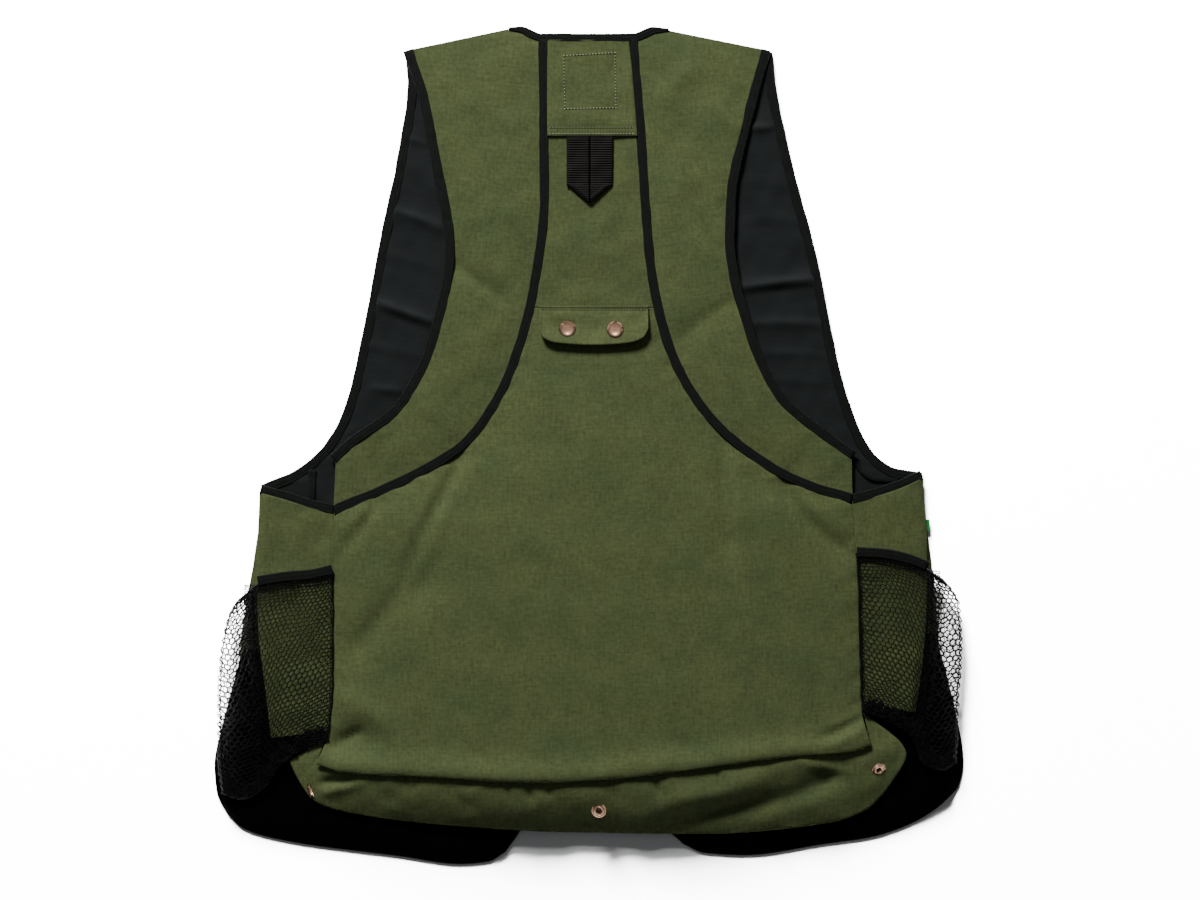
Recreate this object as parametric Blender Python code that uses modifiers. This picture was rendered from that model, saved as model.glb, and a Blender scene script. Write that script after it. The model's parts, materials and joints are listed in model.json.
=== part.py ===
"""A dog training vest, laid flat on a surface with its back up and its neck towards +Y.

All tables are in millimetres. X runs across the vest, Y up the back, and Z up from the
surface. A row of a seam table gives a point of the seam and the height of the cloth's
upper face there, so that the pieces on both sides of the seam meet.
"""

import bpy
import numpy as np
from mathutils import Vector
from mathutils.bvhtree import BVHTree

MM = 0.001

# Cloth, tape and gaps
CANVAS = 1.6
FRONT_CANVAS = 1.3
BACK_LINING = 1.2
FRONT_LINING = 1.0
POCKET_CLOTH = 1.4
NET = 0.9
SEAM_GAP = 0.3
TAPE_WIDTH = 9.0
TAPE_THICKNESS = 2.4
TAPE_EASE = 0.9
NECK_TAPE_WIDTH = 7.6
NECK_TAPE_TIP = 0.32
NECK_TAPER_LENGTH = 1 / 12

# Snaps; a profile's columns are a fraction of the radius and a height
SNAP_CAP_RADIUS = 7.5
SNAP_CAP_PROFILE = (
    (0.0, 2.6),
    (0.5, 2.4),
    (0.85, 1.7),
    (1.0, 0.8),
    (1.0, 0.2),
    (0.9, 0.0),
    (0.0, 0.0),
)
SNAP_SOCKET_RADIUS = 6.2
SNAP_SOCKET_PROFILE = (
    (0.0, 0.6),
    (0.42, 0.6),
    (0.5, 1.9),
    (0.78, 2.1),
    (1.0, 1.0),
    (1.0, 0.0),
    (0.0, 0.0),
)
TURN_STEPS = 16

# Zip
ZIP_TOP_Y = 146.0
ZIP_BOTTOM_Y = -215.0
ZIP_TEETH_WIDTH = 5.4
ZIP_TEETH_THICKNESS = 2.2
ZIP_TAPE_WIDTH = 15.0
ZIP_TAPE_THICKNESS = 0.8
SLIDER_WIDTH = 9.2
SLIDER_END_WIDTH = 6.4
SLIDER_LENGTH = 12.0
SLIDER_SHOULDER = 9.0

# Rows and columns of the cloth's grids
FRONT_SIDE_ROWS = 10
FRONT_COLUMNS = 6
LINING_COLUMNS = 5
STRAP_COLUMNS = 6
NECK_CORNER_ROWS = 4
NECK_STEPS = 24
YOKE_ROWS = 4
CENTRE_ROWS = 6
CENTRE_COLUMNS = 7
BAG_SEAM_ROWS = 12
BAG_COLUMNS = 17
HEM_COLUMNS = 21
GUSSET_ROWS = 5
BACK_SEAM_ROWS = 7
BACK_SIDE_ROWS = 9
BACK_COLUMNS = 12
FLAP_ROWS = 4
FLAP_COLUMNS = 11
SIDE_ROWS = 9
SIDE_END_ROWS = 3
SIDE_COLUMNS = 5
NET_ROWS = 10
NET_SEAM_ROWS = 6
NET_COLUMNS = 8
ARMHOLE_ROWS = 18
SEAM_SAMPLES = 401
RAY_START = 200.0

# The middle of the vest's outline, which the origin stands under
OUTLINE_MIDDLE = (-1.25, -0.09)

# Seams of the back: x, y, height of the upper face
CENTRE_SEAM_LEFT = (
    (-42, 361, 6.6),
    (-41, 220, 6.8),
    (-50, 144, 7.4),
    (-72, 65, 8.6),
    (-110, 4, 9.2),
    (-170, -33, 8.8),
    (-229, -58, 8.2),
)
CENTRE_SEAM_RIGHT = (
    (39, 361, 6.6),
    (46, 274, 6.8),
    (54, 166, 7.2),
    (69, 94, 8.2),
    (96, 40, 9.0),
    (139, -4, 9.2),
    (193, -35, 8.8),
    (235, -48, 8.2),
)
SIDE_SEAM_LEFT = (
    (-230, -60, 8.2),
    (-230, -139, 9.8),
    (-230, -215, 12.0),
    (-233, -256, 14.0),
    (-242, -284, 19.0),
)
SIDE_SEAM_RIGHT = (
    (236, -50, 8.2),
    (240, -103, 9.4),
    (242, -174, 11.2),
    (244, -238, 13.4),
    (252, -269, 18.5),
)
STRAP_EDGE_LEFT = (
    (-159, 356, 5.0),
    (-145, 312, 6.4),
    (-134, 256, 7.4),
    (-121, 177, 8.4),
    (-137, 92, 9.2),
    (-172, 27, 9.4),
    (-211, -1, 9.0),
    (-227, -16, 8.6),
)
STRAP_EDGE_RIGHT = (
    (154, 356, 5.0),
    (136, 290, 6.8),
    (122, 220, 8.0),
    (121, 184, 8.4),
    (138, 103, 9.2),
    (166, 42, 9.4),
    (211, 3, 9.0),
    (234, -13, 8.6),
)
NECK_CORNER_LEFT = (
    (-76, 371.8, 4.8),
    (-64, 368.0, 5.8),
    (-53, 362.6, 6.4),
    (-47, 352, 6.6),
)
NECK_CORNER_RIGHT = (
    (73, 370.4, 4.8),
    (61, 367.6, 5.8),
    (50, 362.6, 6.4),
    (44.4, 352, 6.6),
)
NECK_LINE = (
    (-70, 374.2, 5.6),
    (-62, 373, 6.0),
    (-53, 368.6, 6.4),
    (-44, 365.8, 6.6),
    (0, 365.6, 6.6),
    (40, 365.8, 6.6),
    (49, 369, 6.4),
    (58, 372.4, 6.0),
    (68, 373, 5.6),
)

# The game bag: the fold along its lower front edge, and its hem
BAG_CREASE = (
    (-242, -284, 19.0),
    (-221, -292, 22.5),
    (-150, -296, 27.0),
    (-44, -301, 30.0),
    (27, -297, 30.5),
    (97, -289, 29.5),
    (186, -278, 25.0),
    (232, -275, 21.5),
    (252, -269, 18.5),
)
BAG_HEM = (
    (-270, -283, 10.4),
    (-263, -298, 10.4),
    (-246, -320, 10.4),
    (-204, -332, 10.4),
    (-116, -342, 10.4),
    (-9, -348, 10.4),
    (98, -349, 10.4),
    (214, -339, 10.4),
    (246, -328, 10.4),
    (271, -302, 10.4),
    (284, -277, 10.4),
    (279, -267, 10.4),
    (268, -257, 10.4),
)
BAG_TOP_Y = 123.2
BAG_CROWN = 4.0
EDGE_ROLL = 2.4
EDGE_SETBACK = 6.0
STRAP_CROWN = 1.6
STRAP_END_TRIM = 0.3
SHOULDER_ROLL = 0.6
GUSSET_BELLY = 4.0

# The bag's inner layer: it rests on the fronts, rises onto the pocket bags below BACK_RISE_Y,
# and sags between them
BACK_REST = 4.2
BACK_RISE = 4.1
BACK_RISE_Y = -110.0
BACK_RISE_LENGTH = 70.0
BACK_SAG_SHARE = 0.8
HEM_SAG = 3.2
SAG_HALF_WIDTH = 32.0
BACK_SEAM_INSET = 9.0
BACK_TOP_INSET = 3.0
BACK_HEM_INSET = 1.0
BACK_SEAM_END_LEFT = -54.0
BACK_SEAM_END_RIGHT = -44.0
BACK_SIDE_LEFT = ((-224, -72, 0), (-236, -300, 0))
BACK_SIDE_RIGHT = ((230, -62, 0), (242, -300, 0))
BACK_HEM_FROM = 0.10
BACK_HEM_TO = 0.83

# Largest folds of the bag: start x and y, end x and y, half-width, height
BAG_FOLDS = (
    (-118, -12, -150, -125, 16, -2.0),
    (-150, -125, -208, -182, 16, -1.8),
    (118, 5, 124, -86, 16, -1.6),
    (174, -36, 222, -94, 14, -1.8),
    (-190, -250, -214, -232, 13, 3.0),
    (-226, -268, -204, -258, 10, -3.0),
    (224, -256, 246, -246, 10, 2.2),
)
STRAP_FOLDS_LEFT = (
    (-122, 162, -82, 130, 15, -1.6),
    (-194, -4, -186, -28, 12, -1.4),
)
STRAP_FOLDS_RIGHT = (
    (70, 315, 90, 337, 12, 1.2),
    (117, 301, 131, 283, 12, 1.2),
    (128, 130, 84, 96, 15, -1.4),
)
LINING_FOLDS_LEFT = (
    (-190, 128, -143, 111, 9, 1.5),
    (-175, 209, -135, 195, 8, 1.0),
    (-193, 50, -171, 48, 8, 0.8),
)
LINING_FOLDS_RIGHT = (
    (137, 142, 200, 147, 9, 1.5),
    (139, 108, 212, 108, 8, 0.8),
    (144, 286, 162, 286, 7, 1.0),
)

# Fronts: x, y, height of the upper face
ARMHOLE_LEFT = (
    (-166, 353, FRONT_CANVAS),
    (-164, 327, FRONT_CANVAS),
    (-173, 261, FRONT_CANVAS),
    (-188, 189, FRONT_CANVAS),
    (-204, 104, FRONT_CANVAS),
    (-219, 39, FRONT_CANVAS),
    (-233, 8, FRONT_CANVAS),
    (-264, -22, FRONT_CANVAS),
    (-296, -36, FRONT_CANVAS),
)
ARMHOLE_RIGHT = (
    (164, 353, FRONT_CANVAS),
    (166, 333, FRONT_CANVAS),
    (178, 270, FRONT_CANVAS),
    (205, 165, FRONT_CANVAS),
    (225, 67, FRONT_CANVAS),
    (237, 28, FRONT_CANVAS),
    (256, -8, FRONT_CANVAS),
    (275, -21, FRONT_CANVAS),
    (299, -25, FRONT_CANVAS),
)
FRONT_SIDE_LEFT = (
    (-296, -48, FRONT_CANVAS),
    (-299, -80, FRONT_CANVAS),
    (-315, -183, FRONT_CANVAS),
    (-317, -218, FRONT_CANVAS),
    (-326, -254, FRONT_CANVAS),
    (-332, -290, FRONT_CANVAS),
    (-320, -327, FRONT_CANVAS),
)
FRONT_SIDE_RIGHT = (
    (298, -38, FRONT_CANVAS),
    (304, -80, FRONT_CANVAS),
    (313, -166, FRONT_CANVAS),
    (315, -200, FRONT_CANVAS),
    (323, -236, FRONT_CANVAS),
    (330, -285, FRONT_CANVAS),
    (318, -312, FRONT_CANVAS),
)
FRONT_EDGE_LEFT = (
    (-78, 369, FRONT_CANVAS),
    (-60, 320, FRONT_CANVAS),
    (-30, 220, FRONT_CANVAS),
    (-5, 148, FRONT_CANVAS),
    (-5, 100, FRONT_CANVAS),
    (-5, -200, FRONT_CANVAS),
    (-20, -262, FRONT_CANVAS),
    (-48, -304, FRONT_CANVAS),
    (-84, -358, FRONT_CANVAS),
)
FRONT_EDGE_RIGHT = (
    (75, 368, FRONT_CANVAS),
    (60, 320, FRONT_CANVAS),
    (30, 220, FRONT_CANVAS),
    (5, 148, FRONT_CANVAS),
    (5, 100, FRONT_CANVAS),
    (5, -200, FRONT_CANVAS),
    (22, -262, FRONT_CANVAS),
    (52, -304, FRONT_CANVAS),
    (92, -352, FRONT_CANVAS),
)
FRONT_HEM_LEFT = (
    (-320, -327, FRONT_CANVAS),
    (-279, -349, FRONT_CANVAS),
    (-171, -364, FRONT_CANVAS),
    (-117, -371, FRONT_CANVAS),
    (-84, -358, FRONT_CANVAS),
)
FRONT_HEM_RIGHT = (
    (92, -352, FRONT_CANVAS),
    (139, -363, FRONT_CANVAS),
    (211, -353, FRONT_CANVAS),
    (286, -335, FRONT_CANVAS),
    (318, -312, FRONT_CANVAS),
)
LINING_TOP = 2.7
LINING_INNER_LEFT = (
    (-146, 350, LINING_TOP),
    (-112, 250, LINING_TOP),
    (-96, 177, LINING_TOP),
    (-116, 80, LINING_TOP),
    (-165, 0, LINING_TOP),
    (-212, -66, LINING_TOP),
)
LINING_INNER_RIGHT = (
    (143, 350, LINING_TOP),
    (110, 250, LINING_TOP),
    (96, 177, LINING_TOP),
    (116, 80, LINING_TOP),
    (165, 2, LINING_TOP),
    (216, -58, LINING_TOP),
)

# Black pocket bags of the fronts: outer side, hem and inner side
POCKET_RIM = 1.6
POCKET_TOP_EDGE = 3.1
POCKET_DOME = 3.2
POCKET_DOME_LENGTH = 46.0
POCKET_FLAT_LENGTH = 26.0
POCKET_SIDE_EASE = 1.4
POCKET_HEM_EASE = 1.0
POCKET_CORNER_EASE = 0.6
POCKET_ROWS = (0, 0.08, 0.2, 0.35, 0.52, 0.7, 0.86, 0.94, 0.98, 1)
POCKET_COLUMNS = (0, 0.015, 0.05, 0.13, 0.26, 0.42, 0.58, 0.74, 0.87, 0.95, 0.985, 1)
POCKET_SIDE_LEFT = (
    (-312, -184, POCKET_TOP_EDGE),
    (-322, -220, POCKET_TOP_EDGE),
    (-332, -256, POCKET_TOP_EDGE),
    (-338, -288, POCKET_TOP_EDGE),
    (-336, -312, POCKET_TOP_EDGE),
    (-326, -332, POCKET_TOP_EDGE),
)
POCKET_SIDE_RIGHT = (
    (310, -170, POCKET_TOP_EDGE),
    (320, -205, POCKET_TOP_EDGE),
    (328, -236, POCKET_TOP_EDGE),
    (336, -284, POCKET_TOP_EDGE),
    (332, -306, POCKET_TOP_EDGE),
    (323, -317, POCKET_TOP_EDGE),
)
POCKET_HEM_LEFT = (
    (-326, -332, POCKET_TOP_EDGE),
    (-312, -345, POCKET_TOP_EDGE),
    (-279, -355, POCKET_TOP_EDGE),
    (-171, -370, POCKET_TOP_EDGE),
    (-117, -377, POCKET_TOP_EDGE),
    (-92, -375, POCKET_TOP_EDGE),
    (-76, -366, POCKET_TOP_EDGE),
)
POCKET_HEM_RIGHT = (
    (84, -359, POCKET_TOP_EDGE),
    (103, -367, POCKET_TOP_EDGE),
    (139, -369, POCKET_TOP_EDGE),
    (211, -359, POCKET_TOP_EDGE),
    (252, -353, POCKET_TOP_EDGE),
    (288, -341, POCKET_TOP_EDGE),
    (313, -326, POCKET_TOP_EDGE),
    (323, -317, POCKET_TOP_EDGE),
)
POCKET_INNER_LEFT = (
    (-54, -184, POCKET_TOP_EDGE),
    (-54, -300, POCKET_TOP_EDGE),
    (-61, -342, POCKET_TOP_EDGE),
    (-76, -366, POCKET_TOP_EDGE),
)
POCKET_INNER_RIGHT = (
    (58, -170, POCKET_TOP_EDGE),
    (58, -300, POCKET_TOP_EDGE),
    (66, -340, POCKET_TOP_EDGE),
    (84, -359, POCKET_TOP_EDGE),
)

# Sides: the top seam runs from the fold at the silhouette to the strap's end
SIDE_TOP_LEFT = (
    (-296, -40, 5.4),
    (-274, -46, 6.6),
    (-251, -53, 7.6),
    (-229.8, -58, 8.2),
)
SIDE_TOP_RIGHT = (
    (235.8, -48, 8.2),
    (253, -44, 7.6),
    (278, -36, 6.6),
    (298, -27, 5.4),
)
SIDE_FOLD_LEFT = (
    (-297, -46, 5.4),
    (-299, -100, 4.6),
    (-299, -139, 4.8),
    (-297, -176, 7.0),
    (-293, -206, 9.2),
    (-286, -263, 9.8),
)
SIDE_FOLD_RIGHT = (
    (299, -33, 5.4),
    (303, -94, 4.6),
    (303, -130, 4.8),
    (301, -168, 7.0),
    (298, -200, 9.2),
    (292, -240, 9.8),
)
FOLD_REACH = 5.0
FOLD_RISE = 1.8
SIDE_SEAM_Y_LEFT = (-64, -256)
SIDE_SEAM_Y_RIGHT = (-54, -232)

# Net pockets: x, y, height of the upper face
NET_OUTER_LEFT = (
    (-301, -126, 7.0),
    (-323, -150, 8.6),
    (-331, -184, 10.0),
    (-334, -230, 10.6),
    (-334, -280, 10.4),
    (-330, -312, 9.0),
)
NET_OUTER_RIGHT = (
    (306, -113, 7.0),
    (320, -124, 8.2),
    (332, -144, 9.4),
    (334, -179, 10.2),
    (331, -230, 10.6),
    (329, -284, 9.0),
)
NET_HEM_LEFT = (
    (-330, -312, 9.0),
    (-312, -317, 9.6),
    (-292, -307, 10.8),
    (-278, -286, 11.8),
    (-256, -272, 13.4),
    (-234, -262, 15.4),
)
NET_HEM_RIGHT = (
    (245, -238, 15.2),
    (266, -246, 13.4),
    (289, -262, 11.8),
    (299, -284, 10.6),
    (315, -291, 9.6),
    (329, -284, 9.0),
)
NET_MOUTH_LEFT = (
    (-298, -122, 7.8),
    (-273, -118, 9.6),
    (-251, -116, 10.4),
    (-231, -112, 10.9),
)
NET_MOUTH_RIGHT = (
    (239, -96, 10.8),
    (260, -97, 10.2),
    (282, -101, 9.0),
    (303, -109, 7.6),
)
NET_SEAM_Y_LEFT = (-112, -262)
NET_SEAM_Y_RIGHT = (-96, -238)
NET_CLEARANCE = 0.6
NET_CROWN = 2.0

# Flap over the top of the bag, closed with two snaps
FLAP_TOP_Y = 123.0
FLAP_LEFT_X = -45.0
FLAP_RIGHT_X = 52.5
FLAP_HEM = (
    (-45, 104),
    (-42, 96),
    (-30, 91),
    (4, 89),
    (35, 91),
    (48, 96),
    (52.5, 104),
)

# Snaps: name, x, y
SNAP_CAPS = (
    ("snap_cap_left", -20, 104),
    ("snap_cap_right", 22, 105),
)
SNAP_SOCKETS = (
    ("snap_socket_left", -247, -306),
    ("snap_socket_centre", 8, -326),
    ("snap_socket_right", 257, -289),
)

# Yoke and the folded webbing under its hem
SEAM_TOP_Y = 360.8
YOKE_TOP_Y = 361.2
YOKE_HEM_Y = 277.0
YOKE_HEM_TOP = 8.8
YOKE_NECK_TOP = 7.0
CENTRE_PANEL_TOP_Y = 284.0
WEBBING_OUTLINE = (
    (-21, 276.4),
    (-22, 234),
    (-2, 217),
    (19, 235),
    (21, 276.4),
)
WEBBING_THICKNESS = 2.6
WEBBING_SLIT = 1.2
WEBBING_SLIT_END_Y = 224.0


# Tab at the right side: left and bottom, right and top
SIDE_TAB = ((296.5, -77), (305.5, -67))
SIDE_TAB_TOP = 2.9

# Colours: red, green, blue, roughness, metallic
FINISHES = {
    "canvas": (0.075, 0.095, 0.032, 0.85, 0.0),
    "binding": (0.012, 0.013, 0.013, 0.8, 0.0),
    "lining": (0.016, 0.019, 0.021, 0.75, 0.0),
    "pocket_cloth": (0.010, 0.010, 0.011, 0.85, 0.0),
    "net": (0.008, 0.008, 0.008, 0.8, 0.0),
    "webbing": (0.011, 0.012, 0.013, 0.75, 0.0),
    "bronze": (0.28, 0.19, 0.12, 0.4, 1.0),
    "zip_tape": (0.012, 0.012, 0.012, 0.8, 0.0),
    "zip_plastic": (0.02, 0.02, 0.02, 0.45, 0.0),
    "zip_metal": (0.10, 0.09, 0.08, 0.4, 1.0),
    "tab_cloth": (0.02, 0.25, 0.06, 0.7, 0.0),
}


# Start from an empty scene

for old in list(bpy.data.objects):
    bpy.data.objects.remove(old, do_unlink=True)

vest = bpy.data.collections.new("dog_training_vest")
bpy.context.scene.collection.children.link(vest)

origin = bpy.data.objects.new("outline_middle", None)
origin.location = (-OUTLINE_MIDDLE[0] * MM, -OUTLINE_MIDDLE[1] * MM, 0)
vest.objects.link(origin)


def finish(name):
    """A plain material with the colour, roughness and metallic value of its finish."""
    material = bpy.data.materials.get(name)
    if material:
        return material
    red, green, blue, roughness, metallic = FINISHES[name]
    material = bpy.data.materials.new(name)
    material.use_nodes = True
    shader = material.node_tree.nodes["Principled BSDF"]
    shader.inputs["Base Color"].default_value = (red, green, blue, 1)
    shader.inputs["Roughness"].default_value = roughness
    shader.inputs["Metallic"].default_value = metallic
    return material


def add_object(name, data, finish_name):
    """Put mesh or curve data into the vest, on the empty at the outline's middle."""
    piece = bpy.data.objects.new(name, data)
    piece.data.materials.append(finish(finish_name))
    piece.parent = origin
    vest.objects.link(piece)
    return piece


# Curves and grids of points, in millimetres

def smooth_slopes(knots, steps):
    """Slopes at a table's rows that never carry the curve past its rows."""
    rises = np.diff(knots, axis=0) / steps
    before, after = rises[:-1], rises[1:]
    near, far = steps[:-1], steps[1:]
    same_way = before * after > 0
    weight_before = 2 * far + near
    weight_after = far + 2 * near
    safe_before = np.where(same_way, before, 1)
    safe_after = np.where(same_way, after, 1)
    mean = (weight_before + weight_after) / (weight_before / safe_before + weight_after / safe_after)
    return np.vstack((rises[:1], np.where(same_way, mean, 0), rises[-1:]))


def spline(table, fractions):
    """Points on a smooth curve through a table's rows, at fractions of its length."""
    knots = np.array(table, dtype=float)
    steps = np.linalg.norm(np.diff(knots[:, :2], axis=0), axis=1)
    run = np.concatenate(([0.0], np.cumsum(steps)))
    slopes = smooth_slopes(knots, steps[:, None])
    place = np.asarray(fractions, dtype=float) * run[-1]
    index = np.clip(np.searchsorted(run, place, side="right") - 1, 0, len(run) - 2)
    length = (run[index + 1] - run[index])[:, None]
    t = (place - run[index])[:, None] / length
    return (
        (1 + 2 * t) * (1 - t) ** 2 * knots[index]
        + t * (1 - t) ** 2 * length * slopes[index]
        + t * t * (3 - 2 * t) * knots[index + 1]
        + t * t * (t - 1) * length * slopes[index + 1]
    )


def even(count):
    """Even fractions from 0 to 1."""
    return np.linspace(0, 1, count)


def stretch(table, high, low, count):
    """The part of a curve between two heights up the back, which it passes once."""
    fractions = even(SEAM_SAMPLES)
    dense = spline(table, fractions)
    start, end = np.interp((-high, -low), -dense[:, 1], fractions)
    return spline(table, np.linspace(start, end, count))


def line(start, end, fractions):
    """Points on a straight line."""
    steps = np.asarray(fractions)[:, None]
    return (1 - steps) * np.asarray(start) + steps * np.asarray(end)


def join(first, second):
    """One row of points from two that follow each other."""
    return np.vstack((first, second[1:]))


def sideways(points):
    """Directions in the table's plane, to the left of the way the points run."""
    along = np.gradient(points[:, :2], axis=0)
    along /= np.linalg.norm(along, axis=1)[:, None]
    return np.column_stack((-along[:, 1], along[:, 0], np.zeros(len(points))))


def shifted(points, distance):
    """A curve moved sideways, to the left of its own direction where positive."""
    return points + sideways(points) * distance


def raised(points, height):
    """A curve or grid moved up."""
    return points + np.array((0, 0, height))


def lengths(points):
    """Fractions of the way along a row of points."""
    run = np.concatenate(([0.0], np.cumsum(np.linalg.norm(np.diff(points, axis=0), axis=1))))
    return run / run[-1]


def patch(left, right, top, bottom):
    """A grid between four edges that share their corners, with rows running down the vest."""
    v = ((lengths(left) + lengths(right)) / 2)[:, None, None]
    u = ((lengths(top) + lengths(bottom)) / 2)[None, :, None]
    across = (1 - u) * left[:, None] + u * right[:, None]
    down = (1 - v) * top[None] + v * bottom[None]
    corners = (
        (1 - v) * ((1 - u) * left[0] + u * right[0])
        + v * ((1 - u) * left[-1] + u * right[-1])
    )
    return across + down - corners


def section_panel(left, right, columns):
    """A grid of straight sections from one edge to the other."""
    steps = even(columns)
    return patch(left, right, line(left[0], right[0], steps), line(left[-1], right[-1], steps))


def crowned(grid, height):
    """A grid whose middle stands higher than its edges."""
    rows = even(grid.shape[0])[:, None]
    columns = even(grid.shape[1])[None, :]
    lifted = grid.copy()
    lifted[:, :, 2] += height * 16 * rows * (1 - rows) * columns * (1 - columns)
    return lifted


def folded(grid, folds):
    """A grid with soft ridges, or troughs where the height is negative."""
    shaped = grid.copy()
    flat = grid[:, :, :2]
    for start_x, start_y, end_x, end_y, width, height in folds:
        start = np.array((start_x, start_y), dtype=float)
        along = np.array((end_x, end_y), dtype=float) - start
        place = np.clip(((flat - start) @ along) / (along @ along), 0, 1)
        nearest = start + place[:, :, None] * along
        distance = np.linalg.norm(flat - nearest, axis=2)
        shaped[:, :, 2] += height * np.exp(-((distance / width) ** 2))
    return shaped


# Solids

def surface_mesh(name, grid):
    """An open mesh of the grid's points, with its faces upwards."""
    rows, columns = grid.shape[:2]
    faces = []
    for row in range(rows - 1):
        for column in range(columns - 1):
            corner = row * columns + column
            faces.append((corner, corner + columns, corner + columns + 1, corner + 1))
    mesh = bpy.data.meshes.new(name)
    mesh.from_pydata((grid.reshape(-1, 3) * MM).tolist(), [], faces)
    mesh.shade_smooth()
    return mesh


def cloth(name, grid, wall, finish_name):
    """A sheet of cloth whose upper face is the grid."""
    piece = add_object(name, surface_mesh(name, grid), finish_name)
    thickness = piece.modifiers.new("cloth wall", "SOLIDIFY")
    thickness.thickness = wall * MM
    thickness.offset = -1
    return piece


def tape(name, path, width, thickness, finish_name, mitred_start=False, mitred_end=False):
    """A tape with eased edges along the middle points of its path; a mitred end is cut along Y."""
    widths = np.broadcast_to(np.asarray(width, dtype=float), (len(path),))
    aside = sideways(path)
    if mitred_start:
        aside[0] = (0, np.sign(aside[0, 1]), 0)
    if mitred_end:
        aside[-1] = (0, np.sign(aside[-1, 1]), 0)
    vertices = []
    for point, side, half in zip(path, aside, widths / 2):
        for reach, rise in (
            (-half, 0),
            (-half + TAPE_EASE, -thickness / 2),
            (half - TAPE_EASE, -thickness / 2),
            (half, 0),
            (half - TAPE_EASE, thickness / 2),
            (-half + TAPE_EASE, thickness / 2),
        ):
            vertices.append(point + side * reach + np.array((0, 0, rise)))
    corners = 6
    faces = []
    for step in range(len(path) - 1):
        for corner in range(corners):
            here = step * corners
            following = (corner + 1) % corners
            beyond = here + corners
            faces.append((here + corner, here + following, beyond + following, beyond + corner))
    faces.append(tuple(reversed(range(corners))))
    last = (len(path) - 1) * corners
    faces.append(tuple(last + corner for corner in range(corners)))
    mesh = bpy.data.meshes.new(name)
    mesh.from_pydata((np.array(vertices) * MM).tolist(), [], faces)
    return add_object(name, mesh, finish_name)


def surface_of(grid):
    """A tree that finds the height of a grid's surface."""
    rows, columns = grid.shape[:2]
    points = [Vector(point) for point in grid.reshape(-1, 3)]
    triangles = []
    for row in range(rows - 1):
        for column in range(columns - 1):
            corner = row * columns + column
            triangles.append((corner, corner + columns, corner + columns + 1))
            triangles.append((corner, corner + columns + 1, corner + 1))
    return BVHTree.FromPolygons(points, triangles)


def above(surface, x, y):
    """The point of a surface over a place on the table, and its normal."""
    point, normal, _, _ = surface.ray_cast(Vector((x, y, RAY_START)), Vector((0, 0, -1)))
    return point, normal


def turned(name, radius, profile, point, normal, finish_name):
    """A round part: its profile runs from the top of the axis down its outer side."""
    mesh = bpy.data.meshes.new(name)
    rim = [(fraction * radius * MM, 0, height * MM) for fraction, height in profile]
    mesh.from_pydata(rim, [(step, step + 1) for step in range(len(rim) - 1)], [])
    piece = add_object(name, mesh, finish_name)
    turn = piece.modifiers.new("turned", "SCREW")
    turn.steps = TURN_STEPS
    turn.render_steps = TURN_STEPS
    turn.use_merge_vertices = True
    turn.merge_threshold = 0.00001
    piece.rotation_mode = "QUATERNION"
    piece.rotation_quaternion = normal.to_track_quat("Z", "Y")
    piece.location = point * MM
    return piece


def flat_piece(name, outline, bottom, thickness, finish_name):
    """A flat piece cut to an outline."""
    curve = bpy.data.curves.new(name, "CURVE")
    curve.dimensions = "2D"
    curve.fill_mode = "BOTH"
    curve.extrude = thickness / 2 * MM
    path = curve.splines.new("POLY")
    path.points.add(len(outline) - 1)
    for target, (x, y) in zip(path.points, outline):
        target.co = (x * MM, y * MM, 0, 1)
    path.use_cyclic_u = True
    piece = add_object(name, curve, finish_name)
    piece.location.z = (bottom + thickness / 2) * MM
    return piece


# Fronts, which lie on the surface, with the linings and pocket bags on them

def soft_step(value):
    """A smooth step from 0 to 1."""
    limited = np.clip(value, 0, 1)
    return limited * limited * (3 - 2 * limited)


def front(side, armhole, outer, edge, hem, sign):
    """One front, flat on the surface, from its shoulder to the pocket's hem."""
    bound = shifted(spline(armhole, even(ARMHOLE_ROWS)), sign * (TAPE_WIDTH + SEAM_GAP))
    outside = np.vstack((bound, spline(outer, even(FRONT_SIDE_ROWS))))
    inside = spline(edge, even(len(outside)))
    if sign > 0:
        left, right = outside, inside
    else:
        left, right = inside, outside
    columns = even(FRONT_COLUMNS)
    grid = patch(left, right, line(left[0], right[0], columns), spline(hem, columns))
    cloth("front_" + side, grid, FRONT_CANVAS, "canvas")
    middle = shifted(spline(armhole, even(ARMHOLE_ROWS)), sign * TAPE_WIDTH / 2)
    middle[:, 2] = TAPE_THICKNESS / 2
    tape("front_armhole_binding_" + side, middle, TAPE_WIDTH, TAPE_THICKNESS, "binding")


def front_lining(side, armhole, inner, folds, sign):
    """The lining on the inner side of a front, where the armhole shows it."""
    outside = shifted(spline(armhole, even(ARMHOLE_ROWS)), sign * (TAPE_WIDTH + 2 * SEAM_GAP))
    outside[:, 2] = LINING_TOP
    inside = spline(inner, even(ARMHOLE_ROWS))
    if sign > 0:
        left, right = outside, inside
    else:
        left, right = inside, outside
    grid = folded(section_panel(left, right, LINING_COLUMNS), folds)
    cloth("front_lining_" + side, grid, FRONT_LINING, "lining")


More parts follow.
